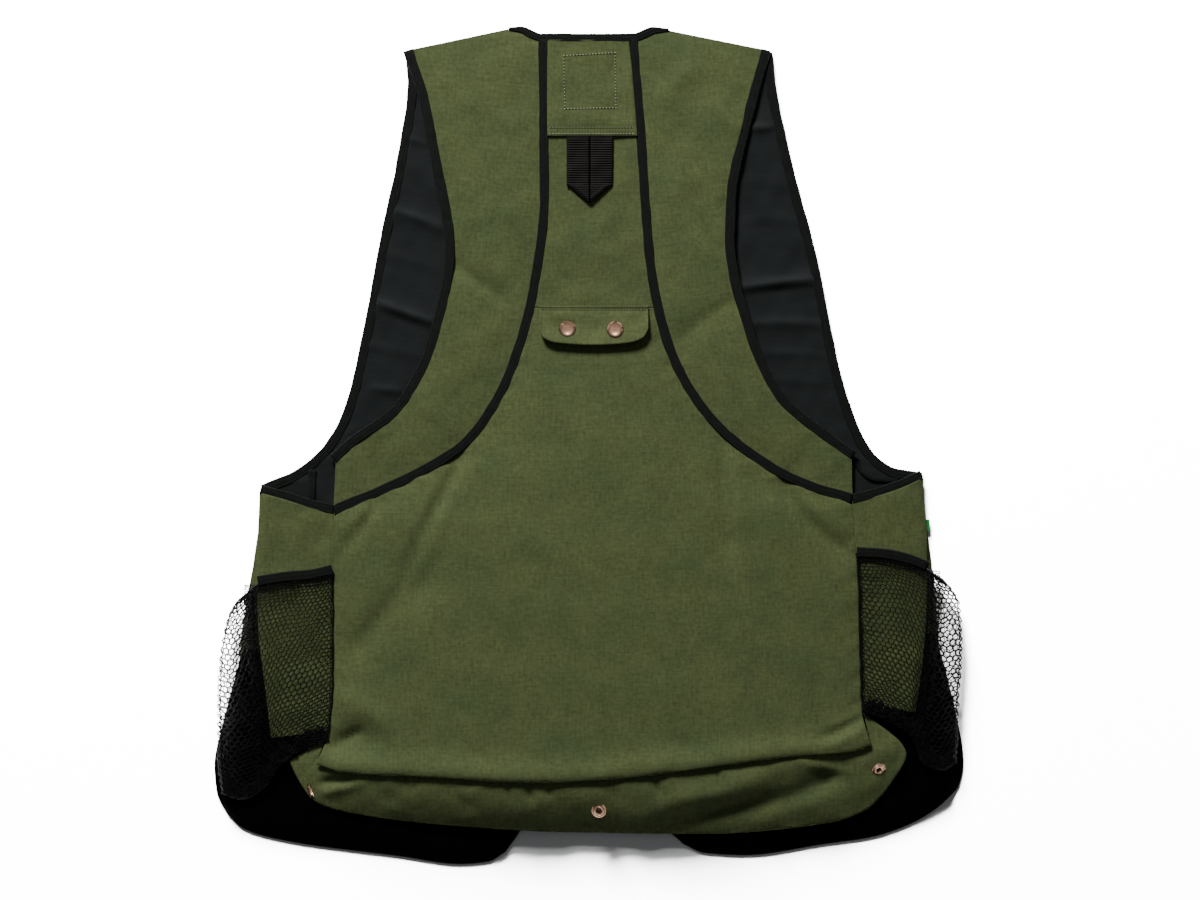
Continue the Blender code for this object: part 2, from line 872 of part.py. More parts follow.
def front_pocket(side, left_table, right_table, hem_table, sign):
    """A black pocket bag: flat along its upper and inner edges, its outer rim on the surface."""
    left = spline(left_table, POCKET_ROWS)
    right = spline(right_table, POCKET_ROWS)
    top = line(left[0], right[0], POCKET_COLUMNS)
    grid = patch(left, right, top, spline(hem_table, POCKET_COLUMNS))
    below_edge = (left[0, 1] + right[0, 1]) / 2 - grid[:, :, 1]
    domed = soft_step(below_edge / POCKET_DOME_LENGTH)
    grid[:, :, 2] += POCKET_DOME * domed
    grid[:, (1, -2), 2] -= POCKET_SIDE_EASE * domed[:, (1, -2)]
    grid[-2, :, 2] -= POCKET_HEM_EASE
    outer_column, inner_column = (0, -1) if sign > 0 else (-1, 0)
    grid[-2, inner_column, 2] -= POCKET_CORNER_EASE
    rolled = soft_step(below_edge[:, outer_column] / POCKET_FLAT_LENGTH - 1)
    grid[:, outer_column, 2] = POCKET_TOP_EDGE - (POCKET_TOP_EDGE - POCKET_RIM) * rolled
    grid[-1, :, 2] = POCKET_RIM
    grid[0, :, 2] = POCKET_TOP_EDGE
    cloth("front_pocket_" + side, grid, POCKET_CLOTH, "pocket_cloth")


front("left", ARMHOLE_LEFT, FRONT_SIDE_LEFT, FRONT_EDGE_LEFT, FRONT_HEM_LEFT, 1)
front("right", ARMHOLE_RIGHT, FRONT_SIDE_RIGHT, FRONT_EDGE_RIGHT, FRONT_HEM_RIGHT, -1)
front_lining("left", ARMHOLE_LEFT, LINING_INNER_LEFT, LINING_FOLDS_LEFT, 1)
front_lining("right", ARMHOLE_RIGHT, LINING_INNER_RIGHT, LINING_FOLDS_RIGHT, -1)
front_pocket("left", POCKET_SIDE_LEFT, POCKET_INNER_LEFT, POCKET_HEM_LEFT, 1)
front_pocket("right", POCKET_INNER_RIGHT, POCKET_SIDE_RIGHT, POCKET_HEM_RIGHT, -1)


# Zip between the fronts

def rectangle(left, bottom, right, top):
    """The corners of a rectangle."""
    return ((left, bottom), (right, bottom), (right, top), (left, top))


teeth_side = ZIP_TEETH_WIDTH / 2
slider_side = SLIDER_WIDTH / 2
slider_end_side = SLIDER_END_WIDTH / 2
slider_bottom = ZIP_TOP_Y + SEAM_GAP
tape_inner = teeth_side + SEAM_GAP
tape_bottom = FRONT_CANVAS + SEAM_GAP
flat_piece(
    "zip_teeth",
    rectangle(-teeth_side, ZIP_BOTTOM_Y, teeth_side, ZIP_TOP_Y),
    0,
    ZIP_TEETH_THICKNESS,
    "zip_plastic",
)
flat_piece(
    "zip_tape_left",
    rectangle(-tape_inner - ZIP_TAPE_WIDTH, ZIP_BOTTOM_Y, -tape_inner, ZIP_TOP_Y),
    tape_bottom,
    ZIP_TAPE_THICKNESS,
    "zip_tape",
)
flat_piece(
    "zip_tape_right",
    rectangle(tape_inner, ZIP_BOTTOM_Y, tape_inner + ZIP_TAPE_WIDTH, ZIP_TOP_Y),
    tape_bottom,
    ZIP_TAPE_THICKNESS,
    "zip_tape",
)
slider_outline = (
    (-slider_end_side, ZIP_TOP_Y + SLIDER_LENGTH),
    (-slider_side, ZIP_TOP_Y + SLIDER_SHOULDER),
    (-slider_end_side, slider_bottom),
    (slider_end_side, slider_bottom),
    (slider_side, ZIP_TOP_Y + SLIDER_SHOULDER),
    (slider_end_side, ZIP_TOP_Y + SLIDER_LENGTH),
)
flat_piece("zip_slider", slider_outline, 0, ZIP_TEETH_THICKNESS, "zip_metal")


# Straps of the upper back, over the shoulders to the underarms

def centre_seam_rows(table, bag_end_y):
    """The rows of a centre seam beside the yoke, the centre panel and the bag."""
    beside_yoke = stretch(table, SEAM_TOP_Y, YOKE_HEM_Y, YOKE_ROWS)
    beside_centre = stretch(table, YOKE_HEM_Y, BAG_TOP_Y, CENTRE_ROWS)
    beside_bag = stretch(table, BAG_TOP_Y, bag_end_y, BAG_SEAM_ROWS)
    return beside_yoke, beside_centre, beside_bag


def strap(side, edge, neck_corner, seam_rows, folds, sign):
    """One strap with the tape along its armhole."""
    seam = shifted(join(join(*seam_rows[:2]), seam_rows[2]), -sign * seam_reach)
    inside = np.vstack((spline(neck_corner, even(NECK_CORNER_ROWS)), seam[1:]))
    inside[-1] += (inside[-2] - inside[-1]) * STRAP_END_TRIM
    bound = spline(edge, even(len(inside)))
    outside = shifted(bound, sign * SEAM_GAP)
    if sign > 0:
        left, right = outside, inside
    else:
        left, right = inside, outside
    grid = folded(crowned(section_panel(left, right, STRAP_COLUMNS), STRAP_CROWN), folds)
    grid[0, :, 2] -= SHOULDER_ROLL
    cloth("strap_" + side, grid, CANVAS, "canvas")
    middle = raised(shifted(bound, -sign * TAPE_WIDTH / 2), -CANVAS / 2)
    tape("strap_armhole_binding_" + side, middle, TAPE_WIDTH, TAPE_THICKNESS, "binding")
    seam_path = raised(join(join(*seam_rows[:2]), seam_rows[2]), -CANVAS / 2)
    tape("centre_binding_" + side, seam_path, TAPE_WIDTH, TAPE_THICKNESS, "binding", mitred_end=True)


seam_reach = TAPE_WIDTH / 2 + SEAM_GAP
seam_rows_left = centre_seam_rows(CENTRE_SEAM_LEFT, CENTRE_SEAM_LEFT[-1][1])
seam_rows_right = centre_seam_rows(CENTRE_SEAM_RIGHT, CENTRE_SEAM_RIGHT[-1][1])
strap("left", STRAP_EDGE_LEFT, NECK_CORNER_LEFT, seam_rows_left, STRAP_FOLDS_LEFT, 1)
strap("right", STRAP_EDGE_RIGHT, NECK_CORNER_RIGHT, seam_rows_right, STRAP_FOLDS_RIGHT, -1)

neck_steps = even(NECK_STEPS)
neck_path = raised(spline(NECK_LINE, neck_steps), -CANVAS / 2)
from_neck_end = np.minimum(neck_steps, 1 - neck_steps)
neck_widths = NECK_TAPE_WIDTH * np.clip(from_neck_end / NECK_TAPER_LENGTH + NECK_TAPE_TIP, 0, 1)
tape("neck_binding", neck_path, neck_widths, TAPE_THICKNESS, "binding")


# Yoke, centre panel and webbing

panel_left = shifted(seam_rows_left[1], seam_reach)
panel_right = shifted(seam_rows_right[1], -seam_reach)
for panel_edge in (panel_left, panel_right):
    first_step = panel_edge[0] - panel_edge[1]
    panel_edge[0] += first_step * (CENTRE_PANEL_TOP_Y - panel_edge[0, 1]) / first_step[1]
    panel_edge[-1, 1] = BAG_TOP_Y + SEAM_GAP
centre_grid = section_panel(panel_left, panel_right, CENTRE_COLUMNS)
cloth("centre_panel", centre_grid, CANVAS, "canvas")

yoke_left = shifted(seam_rows_left[0], seam_reach)
yoke_right = shifted(seam_rows_right[0], -seam_reach)
for yoke_edge in (yoke_left, yoke_right):
    yoke_edge[0, 1] = YOKE_TOP_Y
    yoke_edge[-1, 1] = YOKE_HEM_Y
    yoke_edge[:, 2] = np.linspace(YOKE_NECK_TOP, YOKE_HEM_TOP, len(yoke_edge))
cloth("yoke", section_panel(yoke_left, yoke_right, STRAP_COLUMNS), CANVAS, "canvas")

centre_surface = surface_of(centre_grid)
webbing_seat = max(above(centre_surface, x, y)[0].z for x, y in WEBBING_OUTLINE)
slit_half = WEBBING_SLIT / 2
webbing_cut = (
    (slit_half, WEBBING_OUTLINE[-1][1]),
    (slit_half, WEBBING_SLIT_END_Y),
    (-slit_half, WEBBING_SLIT_END_Y),
    (-slit_half, WEBBING_OUTLINE[0][1]),
)
webbing_outline = WEBBING_OUTLINE + webbing_cut
flat_piece("webbing_loop", webbing_outline, webbing_seat + SEAM_GAP, WEBBING_THICKNESS, "webbing")


# Game bag: inner layer, outer panel, gusset, flap and snaps

def sag(x):
    """How far the cloth between the two pocket bags drops, from 0 to 1."""
    return np.exp(-((x / SAG_HALF_WIDTH) ** 2))


def back_height(x, y):
    """The upper face of the inner layer, which rests on the fronts and pocket bags."""
    lifted = soft_step((BACK_RISE_Y - y) / BACK_RISE_LENGTH)
    return BACK_REST + BACK_RISE * lifted * (1 - BACK_SAG_SHARE * sag(x))


def side_seam_rows(table, side_span):
    """The rows of a side seam beside the side panel, and below it to the bag's corner."""
    side_top_y, side_end_y = side_span
    beside_side = stretch(table, side_top_y, side_end_y, SIDE_ROWS)
    return beside_side, stretch(table, side_end_y, table[-1][1], SIDE_END_ROWS)


def inner_edge(seam_table, seam_end_y, side_line, sign):
    """A side edge of the inner layer, inside the bag's centre seam and then its side seam."""
    seam = stretch(seam_table, BAG_TOP_Y - BACK_TOP_INSET, seam_end_y, BACK_SEAM_ROWS)
    return join(shifted(seam, sign * BACK_SEAM_INSET), line(*side_line, even(BACK_SIDE_ROWS)))


hem_columns = even(HEM_COLUMNS)
hem_curve = spline(BAG_HEM, hem_columns)
hem_curve[:, 2] -= HEM_SAG * sag(hem_curve[:, 0])

inner_left = inner_edge(CENTRE_SEAM_LEFT, BACK_SEAM_END_LEFT, BACK_SIDE_LEFT, 1)
inner_right = inner_edge(CENTRE_SEAM_RIGHT, BACK_SEAM_END_RIGHT, BACK_SIDE_RIGHT, -1)
inner_steps = np.linspace(BACK_HEM_FROM, BACK_HEM_TO, BACK_COLUMNS)
inner_hem = shifted(spline(BAG_HEM, inner_steps), BACK_HEM_INSET)
inner_left[-1, :2] = inner_hem[0, :2]
inner_right[-1, :2] = inner_hem[-1, :2]
inner_top = line(inner_left[0], inner_right[0], even(BACK_COLUMNS))
back_grid = patch(inner_left, inner_right, inner_top, inner_hem)
back_grid[:, :, 2] = back_height(back_grid[:, :, 0], back_grid[:, :, 1])
cloth("back_body", back_grid, BACK_LINING, "lining")

bag_columns = even(BAG_COLUMNS)
side_rows_left = side_seam_rows(SIDE_SEAM_LEFT, SIDE_SEAM_Y_LEFT)
side_rows_right = side_seam_rows(SIDE_SEAM_RIGHT, SIDE_SEAM_Y_RIGHT)
bag_left = np.vstack((
    shifted(seam_rows_left[2], seam_reach)[:-1],
    shifted(join(*side_rows_left), SEAM_GAP / 2),
))
bag_right = np.vstack((
    shifted(seam_rows_right[2], -seam_reach)[:-1],
    shifted(join(*side_rows_right), -SEAM_GAP / 2),
))
bag_left[0, 1] = bag_right[0, 1] = BAG_TOP_Y
bag_bottom = spline(BAG_CREASE, bag_columns)
bag_bottom[0] = bag_left[-1]
bag_bottom[-1] = bag_right[-1]
bag_top = line(bag_left[0], bag_right[0], bag_columns)
bag_grid = folded(crowned(patch(bag_left, bag_right, bag_top, bag_bottom), BAG_CROWN), BAG_FOLDS)
bag_edge = bag_grid[-1:] - np.array((0, 0, EDGE_ROLL))
bag_grid[-1, 1:-1, 1] += EDGE_SETBACK
bag_grid = np.concatenate((bag_grid, bag_edge), axis=0)
cloth("bag_panel", bag_grid, CANVAS, "canvas")

gusset_top = raised(spline(BAG_CREASE, hem_columns), -EDGE_ROLL - CANVAS - 2 * SEAM_GAP)
gusset_left = line(gusset_top[0], hem_curve[0], even(GUSSET_ROWS))
gusset_right = line(gusset_top[-1], hem_curve[-1], even(GUSSET_ROWS))
gusset_grid = crowned(patch(gusset_left, gusset_right, gusset_top, hem_curve), GUSSET_BELLY)
cloth("bag_gusset", gusset_grid, CANVAS, "canvas")

bag_surface = surface_of(bag_grid)
flap_hem = spline([(x, y, 0) for x, y in FLAP_HEM], even(FLAP_COLUMNS))
flap_left = line((FLAP_LEFT_X, FLAP_TOP_Y, 0), flap_hem[0], even(FLAP_ROWS))
flap_right = line((FLAP_RIGHT_X, FLAP_TOP_Y, 0), flap_hem[-1], even(FLAP_ROWS))
flap_top = line(flap_left[0], flap_right[0], even(FLAP_COLUMNS))
flap_grid = patch(flap_left, flap_right, flap_top, flap_hem)
for flap_point in flap_grid.reshape(-1, 3):
    flap_point[2] = above(bag_surface, flap_point[0], flap_point[1])[0].z + CANVAS + 2 * SEAM_GAP
cloth("flap", flap_grid, CANVAS, "canvas")

flap_surface = surface_of(flap_grid)
gusset_surface = surface_of(gusset_grid)
for snap_name, snap_x, snap_y in SNAP_CAPS:
    seat, facing = above(flap_surface, snap_x, snap_y)
    foot = seat + facing * SEAM_GAP
    turned(snap_name, SNAP_CAP_RADIUS, SNAP_CAP_PROFILE, foot, facing, "bronze")
for snap_name, snap_x, snap_y in SNAP_SOCKETS:
    seat, facing = above(gusset_surface, snap_x, snap_y)
    foot = seat + facing * SEAM_GAP
    turned(snap_name, SNAP_SOCKET_RADIUS, SNAP_SOCKET_PROFILE, foot, facing, "bronze")


# Sides, net pockets and the tab

def side_panel(side, seam_rows, fold, top_seam, sign):
    """A side panel from the bag's side seam to the fold at the silhouette."""
    inner = shifted(seam_rows, -sign * SEAM_GAP / 2)
    outer = spline(fold, even(len(inner)))
    near = outer + sideways(outer) * (sign * FOLD_REACH) + np.array((0, 0, FOLD_RISE))
    steps = even(SIDE_COLUMNS)
    rows = []
    for edge_point, near_point, inner_point in zip(outer, near, inner):
        across = line(near_point, inner_point, steps)
        rows.append(np.vstack((edge_point[None], across)))
    grid = np.array(rows)
    if sign < 0:
        grid = grid[:, ::-1]
    top_curve = spline(top_seam, even(grid.shape[1]))
    grid[0, :, :2] = shifted(top_curve, -seam_reach)[:, :2]
    cloth("side_" + side, grid, POCKET_CLOTH, "canvas")
    seam_tape = raised(top_curve, -POCKET_CLOTH / 2)
    tape(
        "side_top_binding_" + side,
        seam_tape,
        TAPE_WIDTH,
        TAPE_THICKNESS,
        "binding",
        mitred_start=sign < 0,
        mitred_end=sign > 0,
    )
    return grid


def lifted_over(points, under, clearance):
    """Points moved up where the surface under them comes nearer than the clearance."""
    lifted = points.copy()
    for point in lifted.reshape(-1, 3):
        seat, _ = above(under, point[0], point[1])
        if seat is not None:
            point[2] = max(point[2], seat.z + clearance)
    return lifted


def net_pocket(side, left_table, right_table, mouth, hem, under):
    """A net pocket over the side, wider than the side where it bags out."""
    left = spline(left_table, even(NET_ROWS))
    right = spline(right_table, even(NET_ROWS))
    columns = even(NET_COLUMNS)
    edge = spline(mouth, columns)
    top = shifted(edge, -seam_reach)
    left[0] = top[0]
    right[0] = top[-1]
    grid = crowned(patch(left, right, top, spline(hem, columns)), NET_CROWN)
    cloth("mesh_pocket_" + side, lifted_over(grid, under, NET + NET_CLEARANCE), NET, "net")
    middle = lifted_over(edge, under, TAPE_THICKNESS / 2 + NET_CLEARANCE)
    tape("mesh_binding_" + side, middle, TAPE_WIDTH, TAPE_THICKNESS, "binding")


def net_seam(table, span, sign):
    """The net's edge along the side seam, on top of the side panel."""
    seam = stretch(table, *span, NET_SEAM_ROWS)
    return shifted(raised(seam, NET + NET_CLEARANCE), -sign * SEAM_GAP)


side_left = side_panel("left", side_rows_left[0], SIDE_FOLD_LEFT, SIDE_TOP_LEFT, 1)
side_right = side_panel("right", side_rows_right[0], SIDE_FOLD_RIGHT, SIDE_TOP_RIGHT, -1)

net_seam_left = net_seam(SIDE_SEAM_LEFT, NET_SEAM_Y_LEFT, 1)
net_seam_right = net_seam(SIDE_SEAM_RIGHT, NET_SEAM_Y_RIGHT, -1)
net_seam_left[-1] = NET_HEM_LEFT[-1]
net_seam_right[-1] = NET_HEM_RIGHT[0]
left_under = surface_of(side_left)
right_under = surface_of(side_right)
net_pocket("left", NET_OUTER_LEFT, net_seam_left, NET_MOUTH_LEFT, NET_HEM_LEFT, left_under)
net_pocket("right", net_seam_right, NET_OUTER_RIGHT, NET_MOUTH_RIGHT, NET_HEM_RIGHT, right_under)

(tab_left, tab_bottom), (tab_right, tab_top) = SIDE_TAB
tab_outline = rectangle(tab_left, tab_bottom, tab_right, tab_top)
tab_seat = FRONT_CANVAS + SEAM_GAP
flat_piece("side_tab", tab_outline, tab_seat, SIDE_TAB_TOP - tab_seat, "tab_cloth")
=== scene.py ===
"""A dog training vest, laid flat with its back up and its neck towards +Y.

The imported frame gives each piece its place. The tables below are in millimetres, on the vest's
own drawing: X across the vest, Y up its back, Z up from the surface that it lies on.
"""

import json
import math

import bmesh
import bpy
import numpy as np
from bpy.props import FloatProperty, FloatVectorProperty, IntProperty, PointerProperty
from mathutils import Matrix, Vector
from mathutils.bvhtree import BVHTree

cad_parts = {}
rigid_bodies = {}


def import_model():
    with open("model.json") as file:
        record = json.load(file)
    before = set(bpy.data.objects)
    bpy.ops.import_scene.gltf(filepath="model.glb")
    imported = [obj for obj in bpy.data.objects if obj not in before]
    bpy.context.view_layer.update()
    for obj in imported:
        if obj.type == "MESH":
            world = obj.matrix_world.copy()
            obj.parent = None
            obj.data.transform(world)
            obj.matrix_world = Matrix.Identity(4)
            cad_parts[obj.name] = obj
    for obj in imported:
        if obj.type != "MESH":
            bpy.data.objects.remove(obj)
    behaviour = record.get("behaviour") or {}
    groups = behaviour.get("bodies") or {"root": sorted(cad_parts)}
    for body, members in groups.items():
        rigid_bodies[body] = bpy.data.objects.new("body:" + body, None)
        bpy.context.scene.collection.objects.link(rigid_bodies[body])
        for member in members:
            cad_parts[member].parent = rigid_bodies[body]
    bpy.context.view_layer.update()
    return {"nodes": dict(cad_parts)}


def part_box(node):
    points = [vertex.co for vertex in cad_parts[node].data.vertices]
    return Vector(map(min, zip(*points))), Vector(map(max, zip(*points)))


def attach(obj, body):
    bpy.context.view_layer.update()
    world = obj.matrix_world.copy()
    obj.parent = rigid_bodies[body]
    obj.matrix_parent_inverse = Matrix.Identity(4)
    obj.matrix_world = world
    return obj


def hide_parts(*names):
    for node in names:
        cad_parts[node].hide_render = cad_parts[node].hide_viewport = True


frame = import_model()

bl_info = {
    "name": "Dog training vest",
    "version": (1, 0, 0),
    "blender": (4, 5, 0),
    "location": "3D View > Sidebar > Vest",
    "description": "Cloth, net, tapes, snaps and stitches of a field vest laid flat",
    "category": "Object",
}

MM = 0.001
SIDES = ("left", "right")

# The sign of a step across the drawing from each side towards the middle
SIGN = {"left": 1, "right": -1}

# The drawing's middle, which lies over the frame's origin
OUTLINE_MIDDLE = np.array((-1.25, -0.09, 0.0))

# Seams of the back: x, y, height of the cloth's upper face
CENTRE_SEAM = {
    "left": (
        (-42, 361, 6.6), (-41, 220, 6.8), (-50, 144, 7.4), (-72, 65, 8.6),
        (-110, 4, 9.2), (-170, -33, 8.8), (-229, -58, 8.2),
    ),
    "right": (
        (39, 361, 6.6), (46, 274, 6.8), (54, 166, 7.2), (69, 94, 8.2),
        (96, 40, 9.0), (139, -4, 9.2), (193, -35, 8.8), (235, -48, 8.2),
    ),
}
SIDE_SEAM = {
    "left": (
        (-230, -60, 8.2), (-230, -139, 9.8), (-230, -215, 12.0), (-234, -256, 14.0), (-245, -285.5, 18.5),
    ),
    "right": (
        (236, -50, 8.2), (240, -103, 9.4), (242, -174, 11.2), (244, -238, 13.4), (252, -269, 18.5),
    ),
}
STRAP_EDGE = {
    "left": (
        (-159, 356, 5.0), (-145, 312, 6.4), (-134, 256, 7.4), (-121, 177, 8.4),
        (-137, 92, 9.2), (-172, 27, 9.4), (-211, -1, 9.0), (-227, -16, 8.6),
    ),
    "right": (
        (154, 356, 5.0), (136, 290, 6.8), (122, 220, 8.0), (121, 184, 8.4),
        (138, 103, 9.2), (166, 42, 9.4), (211, 3, 9.0), (234, -13, 8.6),
    ),
}
NECK_CORNER = {
    "left": ((-74, 373.8, 4.9), (-63, 371.0, 5.5), (-53, 366.6, 5.9), (-46, 364.2, 6.2)),
    "right": ((71.5, 372.4, 4.9), (60, 371.0, 5.5), (50, 366.6, 5.9), (43, 364.2, 6.2)),
}
NECK_LINE = (
    (-73, 374.0, 5.6), (-62, 373.2, 6.0), (-53, 368.8, 6.4), (-44, 365.8, 6.6), (0, 365.6, 6.6),
    (40, 365.8, 6.6), (49, 369, 6.4), (58, 372.6, 6.0), (71, 372.8, 5.6),
)
BAG_CREASE = (
    (-245, -285.5, 18.5), (-221, -292.5, 22.5), (-150, -296, 27.0), (-44, -301, 30.0), (27, -297, 30.5),
    (97, -289, 29.5), (186, -278, 25.0), (232, -275, 21.5), (252, -269, 18.5),
)
BAG_HEM = (
    (-270, -283, 10.4), (-263, -298, 10.4), (-246, -320, 10.4), (-204, -332, 10.4), (-116, -342, 10.4),
    (-9, -348, 10.4), (98, -349, 10.4), (214, -339, 10.4), (246, -328, 10.4), (271, -302, 10.4),
    (284, -277, 10.4), (279, -267, 10.4), (268, -257, 10.4),
)
SEAM_TOP_Y = 360.8
YOKE_TOP_Y = 361.2
YOKE_HEM_Y = 277.0
YOKE_HEIGHTS = (7.0, 8.8)
CENTRE_PANEL_TOP_Y = 284.0
BAG_TOP_Y = 123.2
SIDE_SEAM_Y = {"left": (-64, -256), "right": (-54, -232)}

# Fronts: armhole, inner edge of the lining, and the black pocket bags
FRONT_TAPE_MIDDLE = 1.65
FRONT_TAPE_HEIGHT = 2.9
LINING_TOP = 2.7

ARMHOLE = {
    "left": (
        (-166, 353), (-164, 327), (-173, 261), (-188, 189), (-204, 104), (-219, 39), (-233, 8),
        (-264, -22), (-296, -36),
    ),
    "right": (
        (164, 353), (166, 333), (178, 270), (205, 165), (225, 67), (237, 28), (256, -8),
        (275, -21), (299, -25),
    ),
}
LINING_INNER = {
    "left": ((-146, 350), (-112, 250), (-96, 177), (-116, 80), (-165, 0), (-212, -66)),
    "right": ((143, 350), (110, 250), (96, 177), (116, 80), (165, 2), (216, -58)),
}
# Black strips at the underarms: x, y and height. The left one is painted shade, a dark strip in the gap
# beside the strap's end; the right one runs along the right underarm.
UNDERARM_STRIPS = {
    "left": ((-249, -22, 3.9), (-249.5, -36, 4.2), (-250, -50, 4.6)),
    "right": ((238.5, -13.5, 3.9), (244.8, -24.3, 4.2), (256.5, -30.6, 4.2), (277.2, -31.5, 3.9)),
}
UNDERARM_WIDTH = {"left": 6.0, "right": 3.4}
UNDERARM_HEIGHT = 1.3
POCKET_RIM = 1.6
POCKET_TOP_EDGE = 3.1
POCKET_DOME = 3.2
POCKET_DOME_LENGTH = 46.0
POCKET_FLAT_LENGTH = 26.0
POCKET_OUTER = {
    "left": ((-312, -184), (-322, -220), (-332, -256), (-338, -288), (-336, -312), (-326, -332)),
    "right": ((310, -170), (320, -205), (328, -236), (336, -284), (332, -306), (323, -317)),
}
POCKET_INNER = {
    "left": ((-54, -184), (-54, -300), (-61, -342), (-76, -366)),
    "right": ((58, -170), (58, -300), (66, -340), (84, -359)),
}
POCKET_HEM = {
    "left": ((-326, -332), (-312, -345), (-279, -355), (-171, -370), (-117, -377), (-92, -375), (-76, -366)),
    "right": (
        (84, -359), (103, -367), (139, -369), (211, -359), (252, -353), (288, -341), (313, -326),
        (323, -317),
    ),
}

# Sides and their net pockets
SIDE_TOP = {
    "left": ((-296, -40, 5.4), (-274, -46, 6.6), (-251, -53, 7.6), (-229.8, -58, 8.2)),
    "right": ((235.8, -48, 8.2), (253, -44, 7.6), (278, -36, 6.6), (298, -27, 5.4)),
}
SIDE_FOLD = {
    "left": (
        (-297, -46, 5.4), (-299, -100, 4.6), (-299, -139, 4.8), (-297, -176, 7.0), (-293, -206, 9.2),
        (-286, -263, 9.8),
    ),
    "right": (
        (299, -33, 5.4), (303, -94, 4.6), (303, -130, 4.8), (301, -168, 7.0), (298, -200, 9.2),
        (292, -240, 9.8),
    ),
}
NET_OUTER = {
    "left": (
        (-301, -126, 7.0), (-323, -150, 8.6), (-331, -184, 10.0), (-334, -230, 10.6), (-334, -280, 10.4),
        (-330, -312, 9.0),
    ),
    "right": (
        (306, -113, 7.0), (320, -124, 8.2), (332, -144, 9.4), (334, -179, 10.2), (331, -230, 10.6),
        (329, -284, 9.0),
    ),
}
NET_HEM = {
    "left": (
        (-330, -312, 9.0), (-312, -317, 9.6), (-292, -307, 10.8), (-278, -286, 11.8), (-256, -272, 13.4),
        (-234, -262, 15.4),
    ),
    "right": (
        (245, -238, 15.2), (266, -246, 13.4), (289, -262, 11.8), (299, -284, 10.6), (315, -291, 9.6),
        (329, -284, 9.0),
    ),
}
NET_MOUTH = {
    "left": ((-298, -122, 7.8), (-273, -118, 9.6), (-251, -116, 10.4), (-231, -112, 10.9)),
    "right": ((239, -96, 10.8), (260, -97, 10.2), (282, -101, 9.0), (303, -109, 7.6)),
}
NET_SEAM_Y = {"left": (-112, -262), "right": (-96, -238)}
NET_FOLD_END_Y = -236

# Layers of a net pocket: cell as a share, bunching, crown, seed, thread as a share, twist, unevenness
NET_LAYERS = {
    "_net": (1.0, 0.98, 2.6, 0, 1.0, 0.0, 1.0),
    "_back_net": (1.0, 0.95, 1.0, 20, 1.9, 0.5, 1.0),
    "_fold_net": (0.62, 1.0, 0.6, 30, 1.0, 0.0, 1.0),
    "_gathers": (0.5, 1.0, 1.0, 40, 1.15, 0.0, 3.0),
    "_mouth_net": (0.6, 1.0, 0.4, 50, 1.0, 0.0, 1.0),
}
NET_UNEVENNESS = 0.0004
NET_SEAM_CORD = {"left": 1.2, "right": 2.2}

# Flap, webbing and snaps
FLAP_TOP_Y = 124.8
FLAP_X = (-45.5, 52.5)
FLAP_HEM = ((-45.5, 104), (-42, 96), (-30, 91), (4, 89), (35, 91), (48, 96), (52.5, 104))
SNAP_CAPS = {"left": (-20.3, 104.2), "right": (22.4, 103.6)}
SNAP_SOCKETS = {"left": (-250, -309), "centre": (8, -326), "right": (258, -290)}
SNAP_TILTS = {"left": (-2.2, -0.9, 0.0), "centre": (0.0, 0.25, 0.0), "right": (0.1, -0.55, 0.0)}
GUSSET_WINGS = ((-236, -262, 12.0), (245, -240, 11.5))

# Half sections of the snaps: radius and height, from the axis on top to the axis below
CAP_PROFILE = (
    (0, 2.7), (2.2, 2.66), (4.2, 2.45), (5.8, 2.0), (6.7, 1.45), (7.2, 1.0), (7.5, 0.75), (7.5, 0.35),
    (7.1, 0.1), (0, 0.1),
)
SOCKET_PROFILE = (
    (0, 0.5), (1.7, 0.5), (1.9, 0.4), (2.3, 0.9), (2.6, 1.8), (3.2, 2.2), (4.0, 2.2), (4.5, 1.7),
    (4.9, 0.9), (5.4, 0.8), (6.1, 1.15), (6.5, 0.9), (6.5, 0.15), (0, 0.1),
)

# A folded tape's section, in halves of its width and thickness, and its length round in millimetres
TAPE_SECTION = (
    (-1.0, 0.0), (-0.97, -0.6), (-0.8, -1.0), (0.8, -1.0), (0.97, -0.6), (1.0, 0.0), (0.97, 0.62),
    (0.86, 0.98), (0.66, 1.1), (0.52, 0.94), (0.25, 1.12), (0.0, 1.18), (-0.25, 1.12), (-0.52, 0.94),
    (-0.66, 1.1), (-0.86, 0.98), (-0.97, 0.62),
)
TAPE_ROUND = 19.8

# Sewing: rows of the flap and the yoke, and the corners of the yoke's stitched patch
# How deep the dark balls of painted shade for the needle holes sink under a row of stitches
HOLE_DEPTH = 0.12
FLAP_ROW = ((-43.5, 121.4, 9), (51, 121.4, 9))
YOKE_ROW_X = (-36, 38.5)
YOKE_ROW_Y = (284.6, 279.2)
PATCH_CORNERS = ((-23.4, 349.2, 9), (22.5, 351.9, 9), (23.4, 302.4, 9), (-22.5, 301.5, 9))

ZIP_TOP_Y = 146.0
ZIP_BOTTOM_Y = -215.0
ZIP_HEIGHT = 1.1
WEBBING_TOP_Y = 276.4
WEBBING_TURN_Y = 232.4
WEBBING_TIP_Y = 217.2
WEBBING_HALF = 20.8
WEBBING_MIDDLE = -0.2
WEBBING_RIB = 2.1

